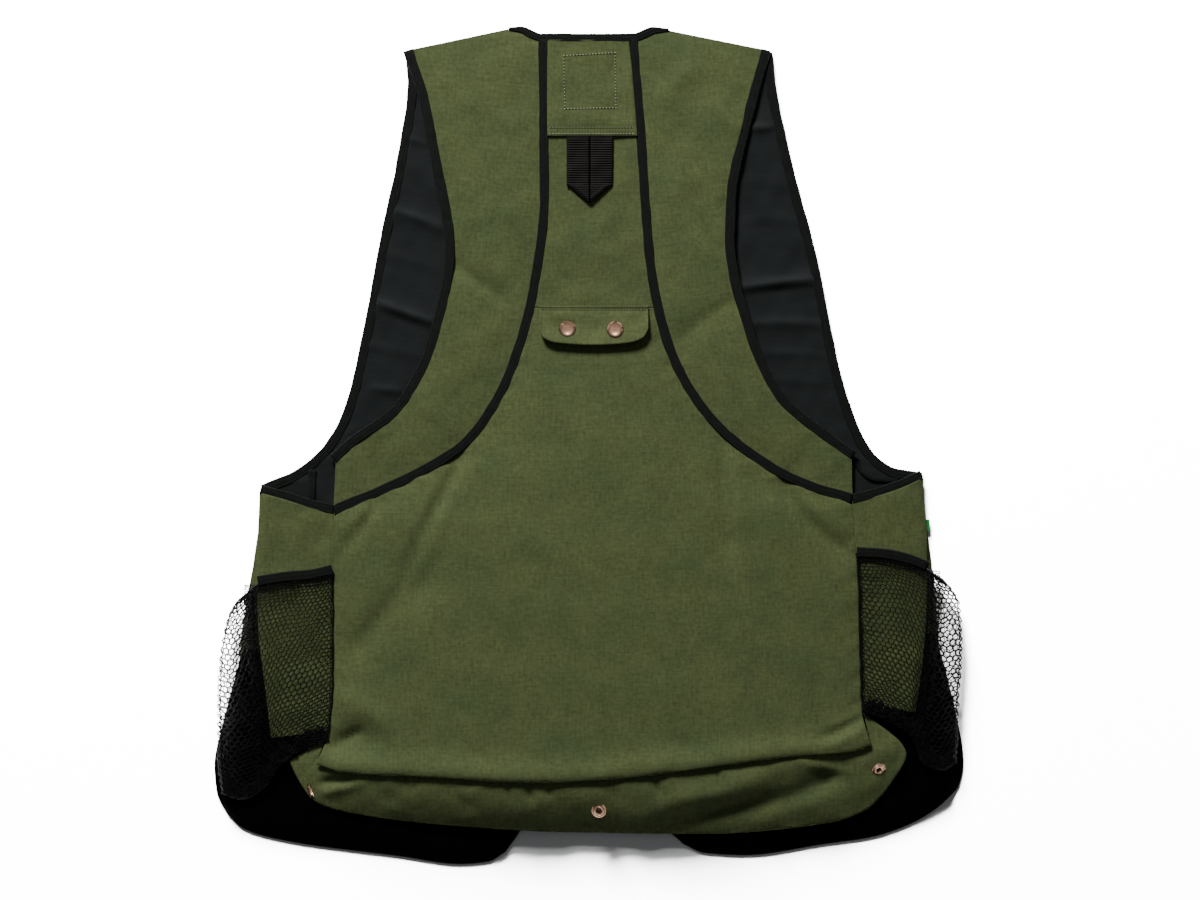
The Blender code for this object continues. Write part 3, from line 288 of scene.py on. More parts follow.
# Largest folds: start x and y, end x and y, half-width, height
BAG_FOLDS = (
    (-118, -12, -150, -125, 16, -2.0),
    (-150, -125, -208, -182, 16, -1.8),
    (118, 5, 124, -86, 16, -1.6),
    (174, -36, 222, -94, 14, -1.8),
    (-190, -250, -214, -232, 13, 3.0),
    (-226, -268, -204, -258, 10, -3.0),
    (224, -256, 246, -246, 10, 2.2),
)
STRAP_FOLDS = {
    "left": ((-122, 162, -82, 130, 15, -1.6), (-194, -4, -186, -28, 12, -1.4)),
    "right": ((70, 315, 90, 337, 12, 1.2), (117, 301, 131, 283, 12, 1.2), (128, 130, 84, 96, 15, -1.4)),
}
LINING_FOLDS = {
    "left": ((-190, 128, -143, 111, 9, 1.5), (-175, 209, -135, 195, 8, 1.0), (-193, 50, -171, 48, 8, 0.8)),
    "right": ((137, 142, 200, 147, 9, 1.5), (139, 108, 212, 108, 8, 0.8), (144, 286, 162, 286, 7, 1.0)),
}

# Finer creases: start x and y, bend x and y, end x and y, half-width, height
BAG_CREASES = (
    (-117, -14, -150, -80, -172, -132, 6, -1.5),
    (-172, -132, -190, -158, -212, -186, 8, -1.1),
    (-108, -22, -140, -78, -160, -128, 8, 0.9),
    (-189, -52, -206, -76, -222, -96, 5, -1.1),
    (-197, -50, -214, -70, -226, -84, 6, 0.7),
    (117, 2, 119, -49, 127, -88, 5, -1.3),
    (129, -8, 131, -48, 137, -80, 7, 0.8),
    (146, -22, 149, -32, 152, -46, 5, -0.7),
    (174, -36, 190, -72, 227, -95, 5, -1.4),
    (184, -34, 200, -62, 230, -80, 6, 0.8),
    (-200, -244, -184, -258, -199, -272, 5, -1.6),
    (-228, -272, -218, -262, -206, -256, 4, -2.0),
    (207, -262, 224, -256, 245, -244, 4, -2.4),
    (214, -268, 230, -262, 246, -254, 5, 0.9),
    (-120, -262, -100, -276, -84, -292, 5, -0.6),
    (60, -258, 92, -270, 120, -284, 7, -0.5),
    (-20, 60, -2, 20, 4, -30, 12, 0.4),
    (-60, -70, -20, -110, 30, -140, 14, 0.4),
    (70, -120, 100, -160, 110, -210, 13, -0.4),
)
GUSSET_CREASES = (
    (-241, -303, -232, -300, -214, -301, 4, -2.2),
    (-240, -312, -222, -306, -205, -303, 4, 1.3),
    (189, -284, 208, -288, 232, -292, 4, 1.4),
    (226, -294, 206, -304, 186, -314, 9, -2.4),
    (186, -314, 140, -326, 80, -334, 9, -1.6),
    (204, -276, 124, -305, 48, -330, 10, 1.7),
    (222, -290, 146, -322, 62, -345, 12, -2.2),
    (196, -300, 150, -312, 96, -316, 7, 1.2),
    (-74, -304, -73, -310, -72, -317, 3, -1.0),
    (-54, -305, -54, -311, -52, -319, 3, -1.2),
    (-36, -305, -37, -310, -37, -315, 3, -0.9),
    (58, -298, 60, -305, 62, -312, 3, -1.1),
    (112, -290, 116, -297, 118, -304, 3, -0.7),
    (-130, -303, -120, -316, -96, -330, 6, -0.8),
    (-196, -306, -180, -318, -150, -328, 6, -0.7),
    (20, -306, 32, -318, 52, -332, 7, -0.6),
)
STRAP_CREASES = {
    "left": (
        (-122, 162, -100, 146, -80, 130, 6, -0.9),
        (-120, 152, -98, 136, -82, 122, 7, 0.6),
        (-138, 330, -118, 318, -104, 300, 9, 0.5),
        (-96, 290, -82, 276, -70, 268, 9, -0.6),
        (-194, -4, -190, -14, -186, -30, 5, -0.9),
        (-156, 44, -140, 26, -120, 12, 9, 0.5),
        (-90, 226, -76, 206, -60, 196, 10, 0.4),
    ),
    "right": (
        (70, 315, 78, 328, 92, 340, 7, 0.7),
        (60, 338, 70, 326, 82, 312, 6, -0.6),
        (117, 301, 124, 292, 132, 282, 6, 0.7),
        (128, 130, 104, 116, 82, 96, 6, -0.7),
        (106, 250, 92, 236, 78, 228, 9, 0.5),
        (96, 200, 84, 188, 70, 184, 9, -0.4),
        (152, 44, 140, 26, 124, 12, 9, 0.5),
        (196, 2, 190, -10, 186, -24, 7, -0.5),
    ),
}
CENTRE_CREASES = (
    (-34, 236, -10, 214, 10, 196, 9, -0.5),
    (30, 226, 24, 206, 12, 190, 8, 0.6),
    (-30, 180, 0, 172, 34, 168, 9, 0.5),
    (-24, 150, 4, 146, 36, 140, 8, -0.4),
)
YOKE_CREASES = (
    (30, 358, 22, 346, 20, 330, 6, -0.5),
    (-34, 300, -10, 292, 26, 294, 7, 0.4),
)
LINING_CREASES = {
    "left": (
        (-192, 129, -168, 119, -141, 110, 3.2, 2.0),
        (-190, 121, -166, 111, -143, 103, 3.4, -0.6),
        (-178, 211, -156, 206, -134, 194, 3.5, 1.3),
        (-196, 51, -184, 50, -170, 48, 3.5, 1.1),
        (-164, 277, -156, 272, -147, 270, 3.0, 1.0),
        (-206, 92, -180, 84, -150, 80, 5.0, 0.7),
        (-186, 172, -164, 168, -140, 158, 6.0, 0.6),
    ),
    "right": (
        (135, 141, 168, 147, 206, 149, 3.2, 2.2),
        (137, 134, 170, 139, 204, 141, 3.4, -0.6),
        (139, 108, 172, 112, 214, 108, 4.0, 1.0),
        (142, 82, 176, 84, 218, 80, 4.5, 0.8),
        (143, 286, 153, 283, 164, 287, 3.0, 1.5),
        (150, 60, 182, 58, 220, 54, 5.0, 0.6),
        (134, 200, 160, 206, 186, 202, 6.0, 0.6),
        (128, 236, 150, 240, 176, 234, 6.0, 0.5),
    ),
}
SIDE_CREASES = {
    "left": (
        (-262, -56, -258, -74, -260, -96, 8, 0.6),
        (-238, -66, -241, -84, -240, -104, 5, -0.7),
        (-284, -150, -272, -190, -268, -236, 9, 0.6),
        (-256, -160, -250, -200, -248, -240, 7, -0.6),
    ),
    "right": (
        (262, -46, 266, -62, 264, -84, 8, 0.6),
        (247, -52, 250, -68, 248, -88, 5, -0.7),
        (288, -130, 276, -170, 274, -214, 9, 0.6),
        (258, -140, 254, -180, 256, -222, 7, -0.6),
    ),
}
POCKET_CREASES = {
    "left": (
        (-318, -268, -300, -300, -276, -330, 9, -0.9),
        (-290, -320, -230, -338, -160, -350, 10, 0.7),
        (-150, -350, -128, -358, -104, -360, 8, -0.7),
    ),
    "right": (
        (318, -250, 300, -290, 276, -322, 9, -0.9),
        (290, -318, 240, -336, 170, -346, 10, 0.7),
        (140, -346, 120, -352, 100, -350, 8, -0.7),
    ),
}


# Points, in millimetres on the drawing

def even(count):
    """Even fractions from 0 to 1."""
    return np.linspace(0, 1, count)


def smooth_slopes(knots, steps):
    """Slopes at a table's rows that never carry the curve past its rows."""
    rises = np.diff(knots, axis=0) / steps
    before, after = rises[:-1], rises[1:]
    near, far = steps[:-1], steps[1:]
    same_way = before * after > 0
    weight_before = 2 * far + near
    weight_after = far + 2 * near
    safe_before = np.where(same_way, before, 1)
    safe_after = np.where(same_way, after, 1)
    mean = (weight_before + weight_after) / (weight_before / safe_before + weight_after / safe_after)
    return np.vstack((rises[:1], np.where(same_way, mean, 0), rises[-1:]))


def spline(table, height=0.0, count=401):
    """A smooth curve through a table's rows, which take the height given where they have none."""
    knots = np.array([tuple(row) + (height,) * (3 - len(row)) for row in table], dtype=float)
    steps = np.linalg.norm(np.diff(knots[:, :2], axis=0), axis=1)
    run = np.concatenate(([0.0], np.cumsum(steps)))
    slopes = smooth_slopes(knots, steps[:, None])
    place = even(count) * run[-1]
    index = np.clip(np.searchsorted(run, place, side="right") - 1, 0, len(run) - 2)
    length = (run[index + 1] - run[index])[:, None]
    t = (place - run[index])[:, None] / length
    return (
        (1 + 2 * t) * (1 - t) ** 2 * knots[index]
        + t * (1 - t) ** 2 * length * slopes[index]
        + t * t * (3 - 2 * t) * knots[index + 1]
        + t * t * (t - 1) * length * slopes[index + 1]
    )


def runs(points):
    """The length run along a row of points, at each point."""
    return np.concatenate(([0.0], np.cumsum(np.linalg.norm(np.diff(points, axis=0), axis=1))))


def along(points, fractions):
    """Points at fractions of a row's length."""
    run = runs(points)
    place = np.asarray(fractions) * run[-1]
    return np.column_stack([np.interp(place, run, points[:, axis]) for axis in range(3)])


def between(points, high, low):
    """The part of a curve between two heights up the back, which it passes once."""
    fractions = even(len(points))
    start, end = np.interp((-high, -low), -points[:, 1], fractions)
    dense = np.linspace(start, end, 201)
    return np.column_stack([np.interp(dense, fractions, points[:, axis]) for axis in range(3)])


def line(start, end, count=101):
    """Points on a straight line."""
    steps = even(count)[:, None]
    return (1 - steps) * np.asarray(start, dtype=float) + steps * np.asarray(end, dtype=float)


def sideways(points):
    """Directions in the drawing's plane, to the left of the way the points run."""
    ahead = np.gradient(points[:, :2], axis=0)
    ahead /= np.maximum(np.linalg.norm(ahead, axis=1), 1e-9)[:, None]
    return np.column_stack((-ahead[:, 1], ahead[:, 0], np.zeros(len(points))))


def shifted(points, distance):
    """A curve moved to the left of its own direction where the distance is positive."""
    return points + sideways(points) * distance


def raised(points, height):
    """A curve or grid moved up."""
    return points + np.array((0, 0, height))


def close_ends(length, step, turn):
    """Fractions of a length: even in its middle, and close at both ends, where an edge turns."""
    near = np.array((0.0, 0.12, 0.35, 0.7)) * turn
    middle = np.linspace(1.2 * turn, length - 1.2 * turn, max(3, round(length / step)))
    return np.concatenate((near, middle, length - near[::-1])) / length


def panel(left, right, top=None, bottom=None, step=3.0, turn=1.6):
    """A grid between four edges, with rows that run down the vest."""
    top = line(left[0], right[0]) if top is None else top
    bottom = line(left[-1], right[-1]) if bottom is None else bottom
    down = close_ends((runs(left)[-1] + runs(right)[-1]) / 2, step, turn)
    across = close_ends((runs(top)[-1] + runs(bottom)[-1]) / 2, step, turn)
    v = down[:, None, None]
    u = across[None, :, None]
    sides = (1 - u) * along(left, down)[:, None] + u * along(right, down)[:, None]
    ends = (1 - v) * along(top, across)[None] + v * along(bottom, across)[None]
    corners = (1 - v) * ((1 - u) * left[0] + u * right[0]) + v * ((1 - u) * left[-1] + u * right[-1])
    return sides + ends - corners


def grid_runs(grid):
    """Distances in a grid from its left, right, upper and lower edges."""
    across = np.cumsum(np.linalg.norm(np.diff(grid, axis=1, prepend=grid[:, :1]), axis=2), axis=1)
    down = np.cumsum(np.linalg.norm(np.diff(grid, axis=0, prepend=grid[:1]), axis=2), axis=0)
    return across, across[:, -1:] - across, down, down[-1:] - down


def crowned(grid, height):
    """A grid whose middle stands higher than its edges."""
    across, from_right, down, from_below = grid_runs(grid)
    u = across / (across + from_right)
    v = down / (down + from_below)
    lifted = grid.copy()
    lifted[:, :, 2] += height * 16 * v * (1 - v) * u * (1 - u)
    return lifted


def folded(grid, folds, strength=1.0):
    """A grid with the largest folds: ridges, or troughs where the height is negative."""
    shaped = grid.copy()
    flat = grid[:, :, :2]
    for start_x, start_y, end_x, end_y, width, height in folds:
        start = np.array((start_x, start_y), dtype=float)
        way = np.array((end_x, end_y), dtype=float) - start
        place = np.clip(((flat - start) @ way) / (way @ way), 0, 1)
        nearest = start + place[:, :, None] * way
        distance = np.linalg.norm(flat - nearest, axis=2)
        shaped[:, :, 2] += strength * height * np.exp(-((distance / width) ** 2))
    return shaped


def creased(grid, creases, strength=1.0):
    """A grid with bent creases that fade towards both ends."""
    shaped = grid.copy()
    flat = grid[:, :, :2]
    for row in creases:
        start, bend, end = np.array(row[:6], dtype=float).reshape(3, 2)
        width, height = row[6:]
        steps = even(13)[:, None]
        path = (1 - steps) ** 2 * start + 2 * steps * (1 - steps) * bend + steps ** 2 * end
        nearest = np.full(flat.shape[:2], 1e9)
        reached = np.zeros(flat.shape[:2])
        for index in range(len(path) - 1):
            way = path[index + 1] - path[index]
            place = np.clip(((flat - path[index]) @ way) / (way @ way), 0, 1)
            distance = np.linalg.norm(flat - path[index] - place[:, :, None] * way, axis=2)
            closer = distance < nearest
            nearest = np.where(closer, distance, nearest)
            reached = np.where(closer, (index + place) / (len(path) - 1), reached)
        fade = np.sin(np.pi * np.clip(0.1 + 0.8 * reached, 0, 1)) ** 0.8
        shaped[:, :, 2] += strength * height * fade * np.exp(-((nearest / width) ** 2))
    return shaped


def waves(x, y, wavelength, seed):
    """Smooth uneven values from about -1 to 1 over the drawing."""
    chance = np.random.default_rng(seed)
    total = np.zeros(np.broadcast(x, y).shape)
    count = 9
    for _ in range(count):
        heading = chance.uniform(0, 2 * math.pi)
        length = wavelength * chance.uniform(0.6, 1.7)
        phase = chance.uniform(0, 2 * math.pi)
        total += np.sin(2 * math.pi * (x * math.cos(heading) + y * math.sin(heading)) / length + phase)
    return total / math.sqrt(count)


def rumpled(grid, height, wavelength, seed, keep=14.0):
    """A grid with soft low waves that die out towards its edges."""
    nearest = np.minimum.reduce(grid_runs(grid))
    shaped = grid.copy()
    fade = np.clip(nearest / keep, 0, 1)
    shaped[:, :, 2] += height * fade * waves(grid[:, :, 0], grid[:, :, 1], wavelength, seed)
    return shaped


def puckered(grid, side, height, pitch, reach, seed):
    """A grid with small sewn-in ripples beside one edge: left, right, top or bottom."""
    order = ("left", "right", "top", "bottom")
    distances = grid_runs(grid)
    distance = distances[order.index(side)]
    run = distances[2] if side in ("left", "right") else distances[0]
    shaped = grid.copy()
    ripple = waves(run, np.zeros(1), pitch, seed)
    shaped[:, :, 2] += height * ripple * np.exp(-distance / reach) * np.clip(distance / 2.5, 0, 1)
    return shaped


def pressed(grid, distance, place, width, height):
    """A grid with a ridge at a distance from an edge, or a groove where the height is negative."""
    shaped = grid.copy()
    shaped[:, :, 2] += height * np.exp(-((distance - place) / width) ** 2)
    return shaped


# Meshes

def finish_named(name):
    """A finish of this script, which the frame's own plain materials share their names with."""
    return bpy.data.materials["vest_" + name]


def linked(name, data):
    """A new object in the scene."""
    made = bpy.data.objects.new(name, data)
    bpy.context.scene.collection.objects.link(made)
    return made


def placed(points):
    """Points of the drawing in the frame, in metres."""
    return (np.asarray(points, dtype=float).reshape(-1, 3) - OUTLINE_MIDDLE) * MM


def mesh_piece(name, points, faces, uvs, finish):
    """A smooth mesh object in the frame, with a map in metres for its finish."""
    mesh = bpy.data.meshes.new(name)
    mesh.from_pydata(placed(points).tolist(), [], [tuple(face) for face in faces])
    corner = np.zeros(len(mesh.loops), dtype=np.int32)
    mesh.loops.foreach_get("vertex_index", corner)
    layer = mesh.uv_layers.new(name="cloth_map")
    layer.data.foreach_set("uv", np.asarray(uvs, dtype=np.float32)[corner].ravel())
    mesh.shade_smooth()
    mesh.materials.append(finish_named(finish))
    return linked(name, mesh)


def quads(index):
    """The faces of a grid of point numbers, upwards."""
    return np.stack((index[:-1, :-1], index[1:, :-1], index[1:, 1:], index[:-1, 1:]), axis=-1).reshape(-1, 4)


def shell(name, grid, wall, finish, grain=0.0, turns=(0, 0, 0, 0)):
    """A closed sheet with round edges, its upper face on the grid, and extra turned edges.

    The turns are how far the cloth rolls down over its left, right, upper and lower edge.
    """
    rows, columns = grid.shape[:2]
    distances = grid_runs(grid)
    shaped = grid.copy()
    for distance, turn in zip(distances, turns):
        if turn:
            near = np.clip(distance / (1.6 * turn), 0, 1)
            shaped[:, :, 2] -= turn * (1 - np.sqrt(1 - (1 - near) ** 2))
    half = wall / 2
    near = np.clip(np.minimum.reduce(distances) / half, 0, 1)
    fall = half * (1 - np.sqrt(1 - (1 - near) ** 2))
    upper = shaped.copy()
    upper[:, :, 2] -= fall
    lower = shaped.copy()
    lower[:, :, 2] -= wall - fall
    top = np.arange(rows * columns).reshape(rows, columns)
    under = top.copy()
    under[1:-1, 1:-1] = rows * columns + np.arange((rows - 2) * (columns - 2)).reshape(rows - 2, columns - 2)
    points = np.vstack((upper.reshape(-1, 3), lower[1:-1, 1:-1].reshape(-1, 3)))
    turn = math.radians(grain)
    turned = np.array(((math.cos(turn), -math.sin(turn)), (math.sin(turn), math.cos(turn))))
    place = grid[:, :, :2] @ turned * MM
    uvs = np.vstack((place.reshape(-1, 2), place[1:-1, 1:-1].reshape(-1, 2)))
    faces = np.vstack((quads(top), quads(under)[:, ::-1]))
    return mesh_piece(name, points, faces, uvs, finish)


def ribbon(name, path, width, thickness, finish, seed, step=2.5, mitred=(False, False), wobble=1.0):
    """A folded tape along the middle of its path, a little uneven, with two rows of sewing pressed in."""
    fractions = even(max(6, round(runs(path)[-1] / step)) + 1)
    middle = along(path, fractions)
    run = runs(middle)
    widths = np.interp(fractions, even(len(np.atleast_1d(width))), np.atleast_1d(width))
    widths = widths * (1 + 0.04 * wobble * waves(run, 0 * run, 34, seed))
    aside = sideways(middle)
    for end, cut in ((0, mitred[0]), (-1, mitred[1])):
        if cut:
            aside[end] = (0, np.sign(aside[end, 1]), 0)
    middle = middle + aside * (0.12 * wobble * waves(run, 0 * run, 26, seed + 1))[:, None]
    middle[:, 2] += 0.12 * wobble * waves(run, 0 * run, 18, seed + 2)
    section = np.array(TAPE_SECTION)
    points = (
        middle[:, None]
        + aside[:, None] * (section[None, :, :1] * widths[:, None, None] / 2)
        + np.array((0, 0, 1)) * (section[None, :, 1:] * thickness / 2)
    )
    count = len(section)
    index = np.arange(len(middle) * count).reshape(-1, count)
    index = np.hstack((index, index[:, :1]))
    faces = [tuple(face) for face in quads(index)[:, ::-1]]
    faces.append(tuple(reversed(range(count))))
    faces.append(tuple(range((len(middle) - 1) * count, len(middle) * count)))
    round_it = np.linspace(0, TAPE_ROUND, count)
    uvs = np.stack(np.broadcast_arrays(run[:, None] * MM, round_it[None] * MM), axis=-1).reshape(-1, 2)
    return mesh_piece(name, points, faces, uvs, finish)


def lathe(name, profile, centre, normal, finish, steps=40):
    """A turned part: its profile of radii and heights runs from the axis at the top to the axis below."""
    rim = np.array(profile[1:-1], dtype=float)
    angles = np.arange(steps) / steps * 2 * math.pi
    rings = np.stack(
        (
            rim[:, 0, None] * np.cos(angles),
            rim[:, 0, None] * np.sin(angles),
            np.repeat(rim[:, 1, None], steps, axis=1),
        ),
        axis=-1,
    )
    points = np.vstack(((0, 0, profile[0][1]), rings.reshape(-1, 3), (0, 0, profile[-1][1])))
    turn = np.array(Vector(normal).to_track_quat("Z", "Y").to_matrix())
    points = points @ turn.T + np.asarray(centre)
    index = 1 + np.arange(len(rim) * steps).reshape(-1, steps)
    index = np.hstack((index, index[:, :1]))
    faces = [tuple(face) for face in quads(index)]
    last = len(points) - 1
    for step in range(steps):
        faces.append((0, index[0, step], index[0, step + 1]))
        faces.append((last, index[-1, step + 1], index[-1, step]))
    spread = np.concatenate(([0], np.repeat(rim[:, 0], steps), [0])) * MM
    height = np.concatenate(([profile[0][1]], np.repeat(rim[:, 1], steps), [profile[-1][1]])) * MM
    return mesh_piece(name, points, faces, np.column_stack((spread, height)), finish)


def surface_of(grid):
    """A tree that finds the height of a grid's surface."""
    rows, columns = grid.shape[:2]
    index = np.arange(rows * columns).reshape(rows, columns)
    return BVHTree.FromPolygons(grid.reshape(-1, 3).tolist(), quads(index).tolist())


def height_over(surface, x, y):
    """The height of a surface over a place on the drawing, and its normal."""
    point, normal, _, _ = surface.ray_cast(Vector((x, y, 200.0)), Vector((0, 0, -1)))
    if point is None:
        return None, None
    return point.z, normal if normal.z > 0 else -normal


def draped(points, surface, clearance):
    """Points put over a surface, at a clearance; a point beside the surface keeps its height."""
    laid = points.copy()
    for point in laid.reshape(-1, 3):
        height, _ = height_over(surface, point[0], point[1])
        if height is not None:
            point[2] = height + clearance
    return laid


def solid_copy(name, node, finish):
    """A piece in the form of its solid, with its loose faces joined and a map from above."""
    mesh = frame["nodes"][node].data.copy()
    mesh.name = name
    shape = bmesh.new()
    shape.from_mesh(mesh)
    bmesh.ops.remove_doubles(shape, verts=shape.verts, dist=0.00002)
    shape.to_mesh(mesh)
    shape.free()
    while mesh.uv_layers:
        mesh.uv_layers.remove(mesh.uv_layers[0])
    layer = mesh.uv_layers.new(name="cloth_map")
    for loop, place in zip(mesh.loops, layer.data):
        place.uv = mesh.vertices[loop.vertex_index].co.xy
    mesh.materials.clear()
    mesh.materials.append(finish_named(finish))
    mesh.shade_smooth()
    mesh.set_sharp_from_angle(angle=math.radians(40))
    return linked(name, mesh)


# Places in the frame

def ride_for(piece, node):
    """Let a piece ride on the vest's body and stand for a node, or for none."""
    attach(piece, "root")
    if node:
        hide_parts(node)
    return piece


def cut_cloth(grid):
    """Work out the flat cut of a laid sheet: its widest row, its longest column and its area, without
    keeping it.
    """
    across, _, down, _ = grid_runs(grid)
    first = np.cross(grid[1:, :-1] - grid[:-1, :-1], grid[:-1, 1:] - grid[:-1, :-1])
    second = np.cross(grid[1:, :-1] - grid[1:, 1:], grid[:-1, 1:] - grid[1:, 1:])
    area = (np.linalg.norm(first, axis=2).sum() + np.linalg.norm(second, axis=2).sum()) / 2
    flat = (across[:, -1].max() * MM, down[-1].max() * MM)
    min(area * MM * MM, flat[0] * flat[1])


def sheet_piece(node, grid, wall, slot, rests_on, with_pieces=(), **look):
    """The sheet of cloth that stands for a node; its flat cut is worked out but not kept."""
    piece = ride_for(shell(node + "_cloth", grid, wall, slot, **look), node)
    cut_cloth(grid)


def solid_sheet(node, slot):
    """A flat sheet of cloth in the form of its solid."""
    piece = ride_for(solid_copy(node + "_cloth", node, slot), node)


def binding(node, path, cut, seed, width=None, height=None, **way):
    """The tape that stands for a binding's solid."""
    width = cut.tape if width is None else width
    tape = ribbon(node + "_tape", path, width, height or cut.tape_height, "binding", cut.seed + seed, **way)
    return ride_for(tape, node)


# Geometry node trees for what repeats

def add_node(tree, kind, settings, sockets):
    """A node of a kind, with its settings and the values or links of its sockets."""
    made = tree.nodes.new(kind)
    for label, value in settings.items():
        setattr(made, label, value)
    for label, value in sockets.items():
        if isinstance(value, bpy.types.NodeSocket):
            tree.links.new(value, made.inputs[label])
        else:
            made.inputs[label].default_value = value
    return made


class Growth:
    """A geometry node tree with named inputs, which ends in real geometry with its material."""

    def __init__(self, name, inputs):
        self.tree = bpy.data.node_groups.new(name, "GeometryNodeTree")
        sockets = self.tree.interface
        sockets.new_socket("Geometry", in_out="INPUT", socket_type="NodeSocketGeometry")
        for label, kind, default in inputs:
            socket = sockets.new_socket(label, in_out="INPUT", socket_type="NodeSocket" + kind)
            socket.default_value = default
        sockets.new_socket("Material", in_out="INPUT", socket_type="NodeSocketMaterial")
        sockets.new_socket("Geometry", in_out="OUTPUT", socket_type="NodeSocketGeometry")
        self.given = add_node(self.tree, "NodeGroupInput", {}, {}).outputs

    def add(self, kind, sockets, **settings):
        """The first output of a new node."""
        return add_node(self.tree, kind, settings, sockets).outputs[0]

    def end(self, geometry):
        """End the tree."""
        real = self.add("GeometryNodeRealizeInstances", {"Geometry": geometry})
        dressed = {"Geometry": real, "Material": self.given["Material"]}
        shown = self.add("GeometryNodeSetMaterial", dressed)
        add_node(self.tree, "NodeGroupOutput", {}, {"Geometry": shown})


def net_tree():
    """A hexagonal net: each point of a triangle lattice becomes a cell of thin thread."""
    tree = Growth(
        "hexagonal net",
        (("Thread Radius", "Float", 0.0003), ("Unevenness", "Float", 0.0006), ("Seed", "Int", 1)),
    )
    given = tree.given
    cells = tree.add("GeometryNodeDualMesh", {"Mesh": given["Geometry"], "Keep Boundaries": True})
    spread = {0: (1.0, 1.0, 0.5), "Scale": given["Unevenness"]}
    reach = tree.add("ShaderNodeVectorMath", spread, operation="SCALE")
    back = tree.add("ShaderNodeVectorMath", {0: reach, "Scale": -1.0}, operation="SCALE")
    between_both = {0: back, 1: reach, "Seed": given["Seed"]}
    chance = tree.add("FunctionNodeRandomValue", between_both, data_type="FLOAT_VECTOR")
    moved = tree.add("GeometryNodeSetPosition", {"Geometry": cells, "Offset": chance})
    threads = tree.add("GeometryNodeMeshToCurve", {"Mesh": moved})
    section = tree.add(
        "GeometryNodeCurvePrimitiveCircle", {"Resolution": 4, "Radius": given["Thread Radius"]}
    )
    tree.end(tree.add(
        "GeometryNodeCurveToMesh", {"Curve": threads, "Profile Curve": section, "Fill Caps": True}
    ))


def stitch_tree():
    """A row of stitches: small threads laid end to end along a path, with short gaps."""
    tree = Growth(
        "stitch row",
        (
            ("Stitch Length", "Float", 0.0026),
            ("Thread Radius", "Float", 0.0003),
            ("Share Shown", "Float", 0.72),
        ),
    )
    given = tree.given
    length = {"Curve": given["Geometry"], "Length": given["Stitch Length"]}
    places = tree.add("GeometryNodeCurveToPoints", length, mode="LENGTH")
    round_end = {"Segments": 6, "Rings": 4, "Radius": given["Thread Radius"]}
    ball = tree.add("GeometryNodeMeshUVSphere", round_end)
    part = {0: given["Stitch Length"], 1: given["Share Shown"]}
    shown = tree.add("ShaderNodeMath", part, operation="MULTIPLY")
    across = tree.add("ShaderNodeMath", {0: given["Thread Radius"], 1: 2.0}, operation="MULTIPLY")
    ratio = tree.add("ShaderNodeMath", {0: shown, 1: across}, operation="DIVIDE")
    size = tree.add("ShaderNodeCombineXYZ", {0: 1.0, 1: 1.0, 2: ratio})
    turned = places.node.outputs["Rotation"]
    laid = {"Points": places, "Instance": ball, "Rotation": turned, "Scale": size}
    tree.end(tree.add("GeometryNodeInstanceOnPoints", laid))


def zip_teeth_tree():
    """Moulded teeth along a path, one after another on both of its sides in turn."""
    tree = Growth(
        "zip teeth", (("Pitch", "Float", 0.0024), ("Tooth", "Vector", (0.0034, 0.0017, 0.0018)))
    )
    given = tree.given
    length = {"Curve": given["Geometry"], "Length": given["Pitch"]}
    places = tree.add("GeometryNodeCurveToPoints", length, mode="LENGTH")
    number = tree.add("GeometryNodeInputIndex", {})
    turn = tree.add("ShaderNodeMath", {0: number, 1: 2.0}, operation="MODULO")
    side = tree.add("ShaderNodeMath", {0: turn, 1: 0.0018, 2: -0.0009}, operation="MULTIPLY_ADD")
    offset = tree.add("ShaderNodeCombineXYZ", {0: side, 1: 0.0, 2: 0.0})
    moved = tree.add("GeometryNodeSetPosition", {"Geometry": places, "Offset": offset})
    tooth = tree.add("GeometryNodeMeshCube", {"Size": given["Tooth"]})
    tree.end(tree.add("GeometryNodeInstanceOnPoints", {"Points": moved, "Instance": tooth}))


def grown(name, source, tree, values):
    """A plain mesh made by a node tree from a mesh or curve, which is then removed."""
    tree = bpy.data.node_groups[tree]
    growth = source.modifiers.new("growth", "NODES")
    growth.node_group = tree
    for socket in tree.interface.items_tree:
        if socket.in_out == "INPUT" and socket.name in values:
            growth[socket.identifier] = values[socket.name]
    bpy.context.view_layer.update()
    seen = source.evaluated_get(bpy.context.evaluated_depsgraph_get())
    mesh = bpy.data.meshes.new_from_object(seen)
    mesh.name = name
    source.modifiers.remove(growth)
    bpy.data.objects.remove(source)
    mesh.shade_smooth()
    return linked(name, mesh)


def path_curve(name, paths):
    """A curve object with one open run of points for each path."""
    curve = bpy.data.curves.new(name, "CURVE")
    curve.dimensions = "3D"
    for path in paths:
        run = curve.splines.new("POLY")
        points = placed(path)
        run.points.add(len(points) - 1)
        for target, point in zip(run.points, points):
            target.co = (*point, 1)
    return linked(name, curve)


def stitched(name, paths, finish, sizes, length=1.0):
    """Rows of stitches along paths, and between the stitches small dark balls of painted shade for the
    needle holes.
    """
    pitch = sizes.stitch_length * length
    holes = []
    for path in paths:
        half = 0.5 / int(runs(path)[-1] * MM / pitch)
        holes.append(raised(along(path, half + even(len(path)) * (1 - 2 * half)), -HOLE_DEPTH))
    # The stitches, then the needle holes: dark balls between the stitches, which are painted shade
    for label, rows, look, share, wide in (
        (name, paths, finish, 0.5, 1.0),
        (name + "_holes", holes, "needle_hole_shade", 0.46, 1.3),
    ):
        values = {
            "Stitch Length": pitch,
            "Thread Radius": sizes.stitch_radius * wide,
            "Share Shown": share,
            "Material": finish_named(look),
        }
        ride_for(grown(label, path_curve(label + "_path", rows), "stitch row", values), None)


# Finishes: ribs and threads in metres

